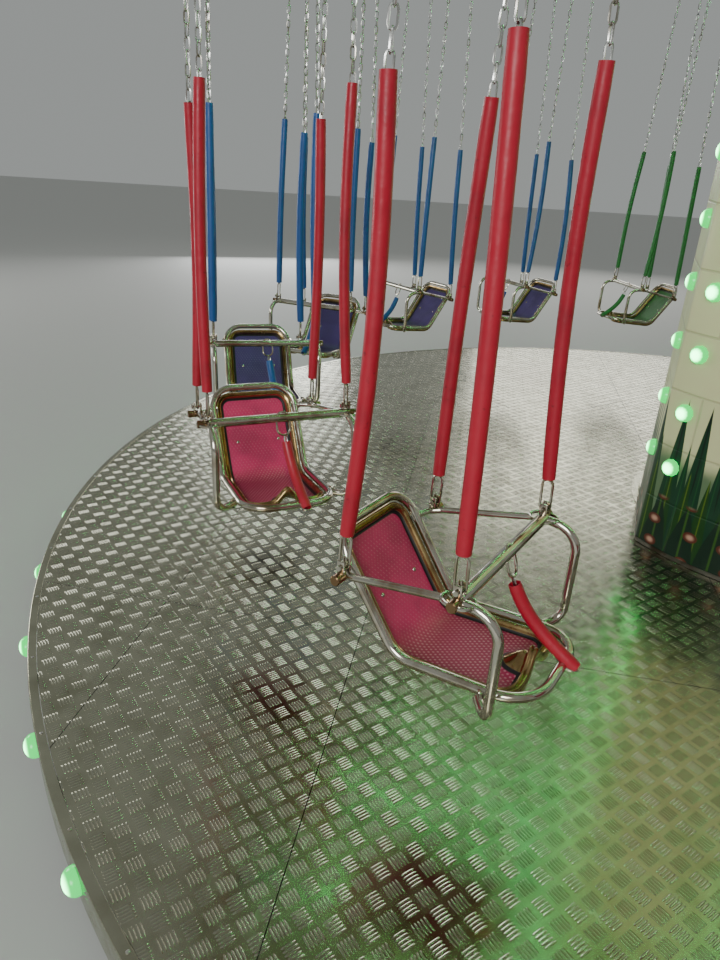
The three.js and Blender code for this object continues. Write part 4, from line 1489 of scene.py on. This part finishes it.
rim = np.concatenate([grid[0], grid[1:, -1], grid[-1, -2::-1], grid[-2:0:-1, 0]])
ahead = np.roll(rim, -1)
top_faces = ring_faces(OUTWARDS, SIDEWAYS, closed_columns=False)
below = len(upper)
gore = (np.concatenate([upper, upper - [0, 0, SHEET_WALL]]),
        [top_faces[:, ::-1], top_faces + below, np.stack([rim, ahead, ahead + below, rim + below], 1)])
gore_turns = [about_z(a) for a in arm_angles]
on_axis = np.zeros((GORES, 3))
for colour_name, start in (("red", 0), ("yellow", 1)):
    sheets = copies(gore, gore_turns[start::2], on_axis[::2])
    piece(f"gores_{colour_name}", sheets, f"{colour_name}_paint", "top", ["canopy"] if start == 0 else [],
          "canopy_sheet")
print("gores:", GORES)

# %% Ribs and roof lamps
LAMPS_A_RIB = 9
rib_line = np.stack([reach[:, 0] / math.cos(STEP / 2), 0 * reach[:, 0], drop[:, 0] + 0.004], 1)
rib_turns = [about_z(a + STEP / 2) for a in arm_angles]
ribs = copies(tube(rib_line, 0.017, 8), rib_turns, on_axis)
piece("roof_ribs", ribs, "gold_paint", "top", slot="canopy_sheet")

slope = rib_line[-1] - rib_line[0]
rib_up = np.cross(slope, [0, 1, 0])
rib_up *= math.copysign(1, rib_up[2]) / np.linalg.norm(rib_up)
rib_spots = rib_line[0] + np.linspace(0.08, 0.97, LAMPS_A_RIB)[:, None] * slope + rib_up * 0.015
places = np.concatenate([rib_spots @ turn.T for turn in rib_turns])
directions = np.repeat([turn @ rib_up for turn in rib_turns], LAMPS_A_RIB, 0)
lamps("roof_lamps", "top", places, directions, 0.020, 0.016, slot="canopy_sheet", small=True)

# %% Scalloped valance
SCALLOPS = 4
VALANCE_WALL = 0.004
t = np.linspace(-1, 1, 16 * SCALLOPS + 1)
low_edge = -0.035 - 0.045 * np.abs(np.sin(np.pi * SCALLOPS * (t + 1) / 2)) ** 0.7
half_edge = (EDGE_RADIUS + 0.008) * math.tan(STEP / 2)
section = [np.stack([np.full(t.shape, x), t * half_edge, z], 1) for x, z in
           ((0.0, 0 * t), (VALANCE_WALL, 0 * t), (VALANCE_WALL, low_edge), (0.0, low_edge))]
valance = loft(np.array(section).transpose(1, 0, 2)[:, ::-1] + [EDGE_RADIUS + 0.004, 0, EDGE_HEIGHT])
piece("valance", copies(valance, gore_turns, on_axis), "cream_paint", "top", slot="canopy_sheet")

# %% Crown
DRUM = 0.398
NECK = 0.37
BALL = 0.108
CROWN_LAMPS = 24
crown_low, crown_high = (corner.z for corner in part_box("crown"))
t = np.linspace(0, 1, 10)[1:]
dome = np.stack([0.34 * np.cos(t * np.pi / 2) + 0.055 * t,
                 crown_high - 0.36 + 0.115 * np.sin(t * np.pi / 2)], 1)
ball_angle = np.linspace(-1.2, 1.45, 12)
ball = np.stack([BALL * np.cos(ball_angle), crown_high - 0.125 + BALL * np.sin(ball_angle)], 1)
crown_profile = np.concatenate([
    [[0.05, crown_low + 0.001], [0.68, crown_low + 0.001], [0.68, crown_low + 0.02], [0.375, crown_low + 0.02]],
    [[0.375, CANOPY_PEAK - 0.02], [DRUM, CANOPY_PEAK], [DRUM, CANOPY_PEAK + 0.05], [NECK, CANOPY_PEAK + 0.07]],
    [[NECK, crown_high - 0.44], [DRUM, crown_high - 0.42]],
    [[DRUM, crown_high - 0.38], [0.36, crown_high - 0.362]],
    dome, ball, [[0.012, crown_high - 0.012], [0.004, crown_high - 0.001]],
])
piece("crown_drum", turned(crown_profile, 64), "blue_paint", "top", ["crown"], "top_blue", sharp=35)
band_angles = 2 * np.pi * np.arange(CROWN_LAMPS) / CROWN_LAMPS
band = on_circle(band_angles, DRUM - 0.001, CANOPY_PEAK + 0.026)
lamps("crown_lamps", "top", band, on_circle(band_angles, 1, 0), 0.018, 0.0135, slot="top_blue", small=True)

# %% [markdown]
# ## Stage and light
#
# A pale floor, a broad soft light from the front, and three wide panels behind. Tread plate is a rough
# mirror, so what it shows is the light that stands opposite the camera. Low, dim panels there give its
# bars their glint without blowing out the plate, and they also reach under the roof.

# %% Stage and light
FLOOR_HALF = 40
floor_mesh = bpy.data.meshes.new("floor")
floor_mesh.from_pydata([(FLOOR_HALF * x, FLOOR_HALF * y, 0) for x, y in ((-1, -1), (1, -1), (1, 1), (-1, 1))],
                       [], [(0, 1, 2, 3)])
floor = bpy.data.objects.new("floor", floor_mesh)
bpy.context.scene.collection.objects.link(floor)
Finish("stage_floor", Roughness=0.7, Base_Color=(0.55, 0.55, 0.53))
floor.data.materials.append(FINISHES["stage_floor"])
floor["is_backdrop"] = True


def soft_light(name, place, aim_height, size, power, colour=(1, 1, 1)):
    """A square area light at a place, turned to a height on the ride's axis."""
    data = bpy.data.lights.new(name, "AREA")
    data.size, data.energy, data.color = size, power, colour
    lamp = bpy.data.objects.new(name, data)
    bpy.context.scene.collection.objects.link(lamp)
    lamp.location = place
    lamp.rotation_euler = (Vector((0, 0, aim_height)) - Vector(place)).to_track_quat("-Z", "Y").to_euler()


soft_light("low_back", (-4.5, 11.0, 1.9), 0.8, 3.2, 150, (0.97, 0.99, 1.0))
soft_light("low_left", (-11.5, 4.5, 1.9), 0.8, 3.2, 210, (1.0, 1.0, 0.97))
soft_light("broad_back", (2.0, 11.5, 4.1), 0.5, 4.4, 170, (1.0, 0.99, 0.95))
soft_light("front", (-4.5, -9.5, 5.0), 0.8, 4.0, 560)
world = bpy.data.worlds.new("studio")
world.use_nodes = True
world.node_tree.nodes["Background"].inputs["Color"].default_value = (0.78, 0.82, 0.80, 1)
world.node_tree.nodes["Background"].inputs["Strength"].default_value = 0.40
bpy.context.scene.world = world

# %% [markdown]
# ## Sizes and finish
#
# The visual model has to fill the solid model's box and not more, so both boxes are printed.

# %% Finish
visual_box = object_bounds()
boxes = {"cad": [list(corner) for corner in cad_box], "visual": [list(corner) for corner in visual_box]}
for name, corners in boxes.items():
    print(name, "box", [round(x, 4) for corner in corners for x in corner])
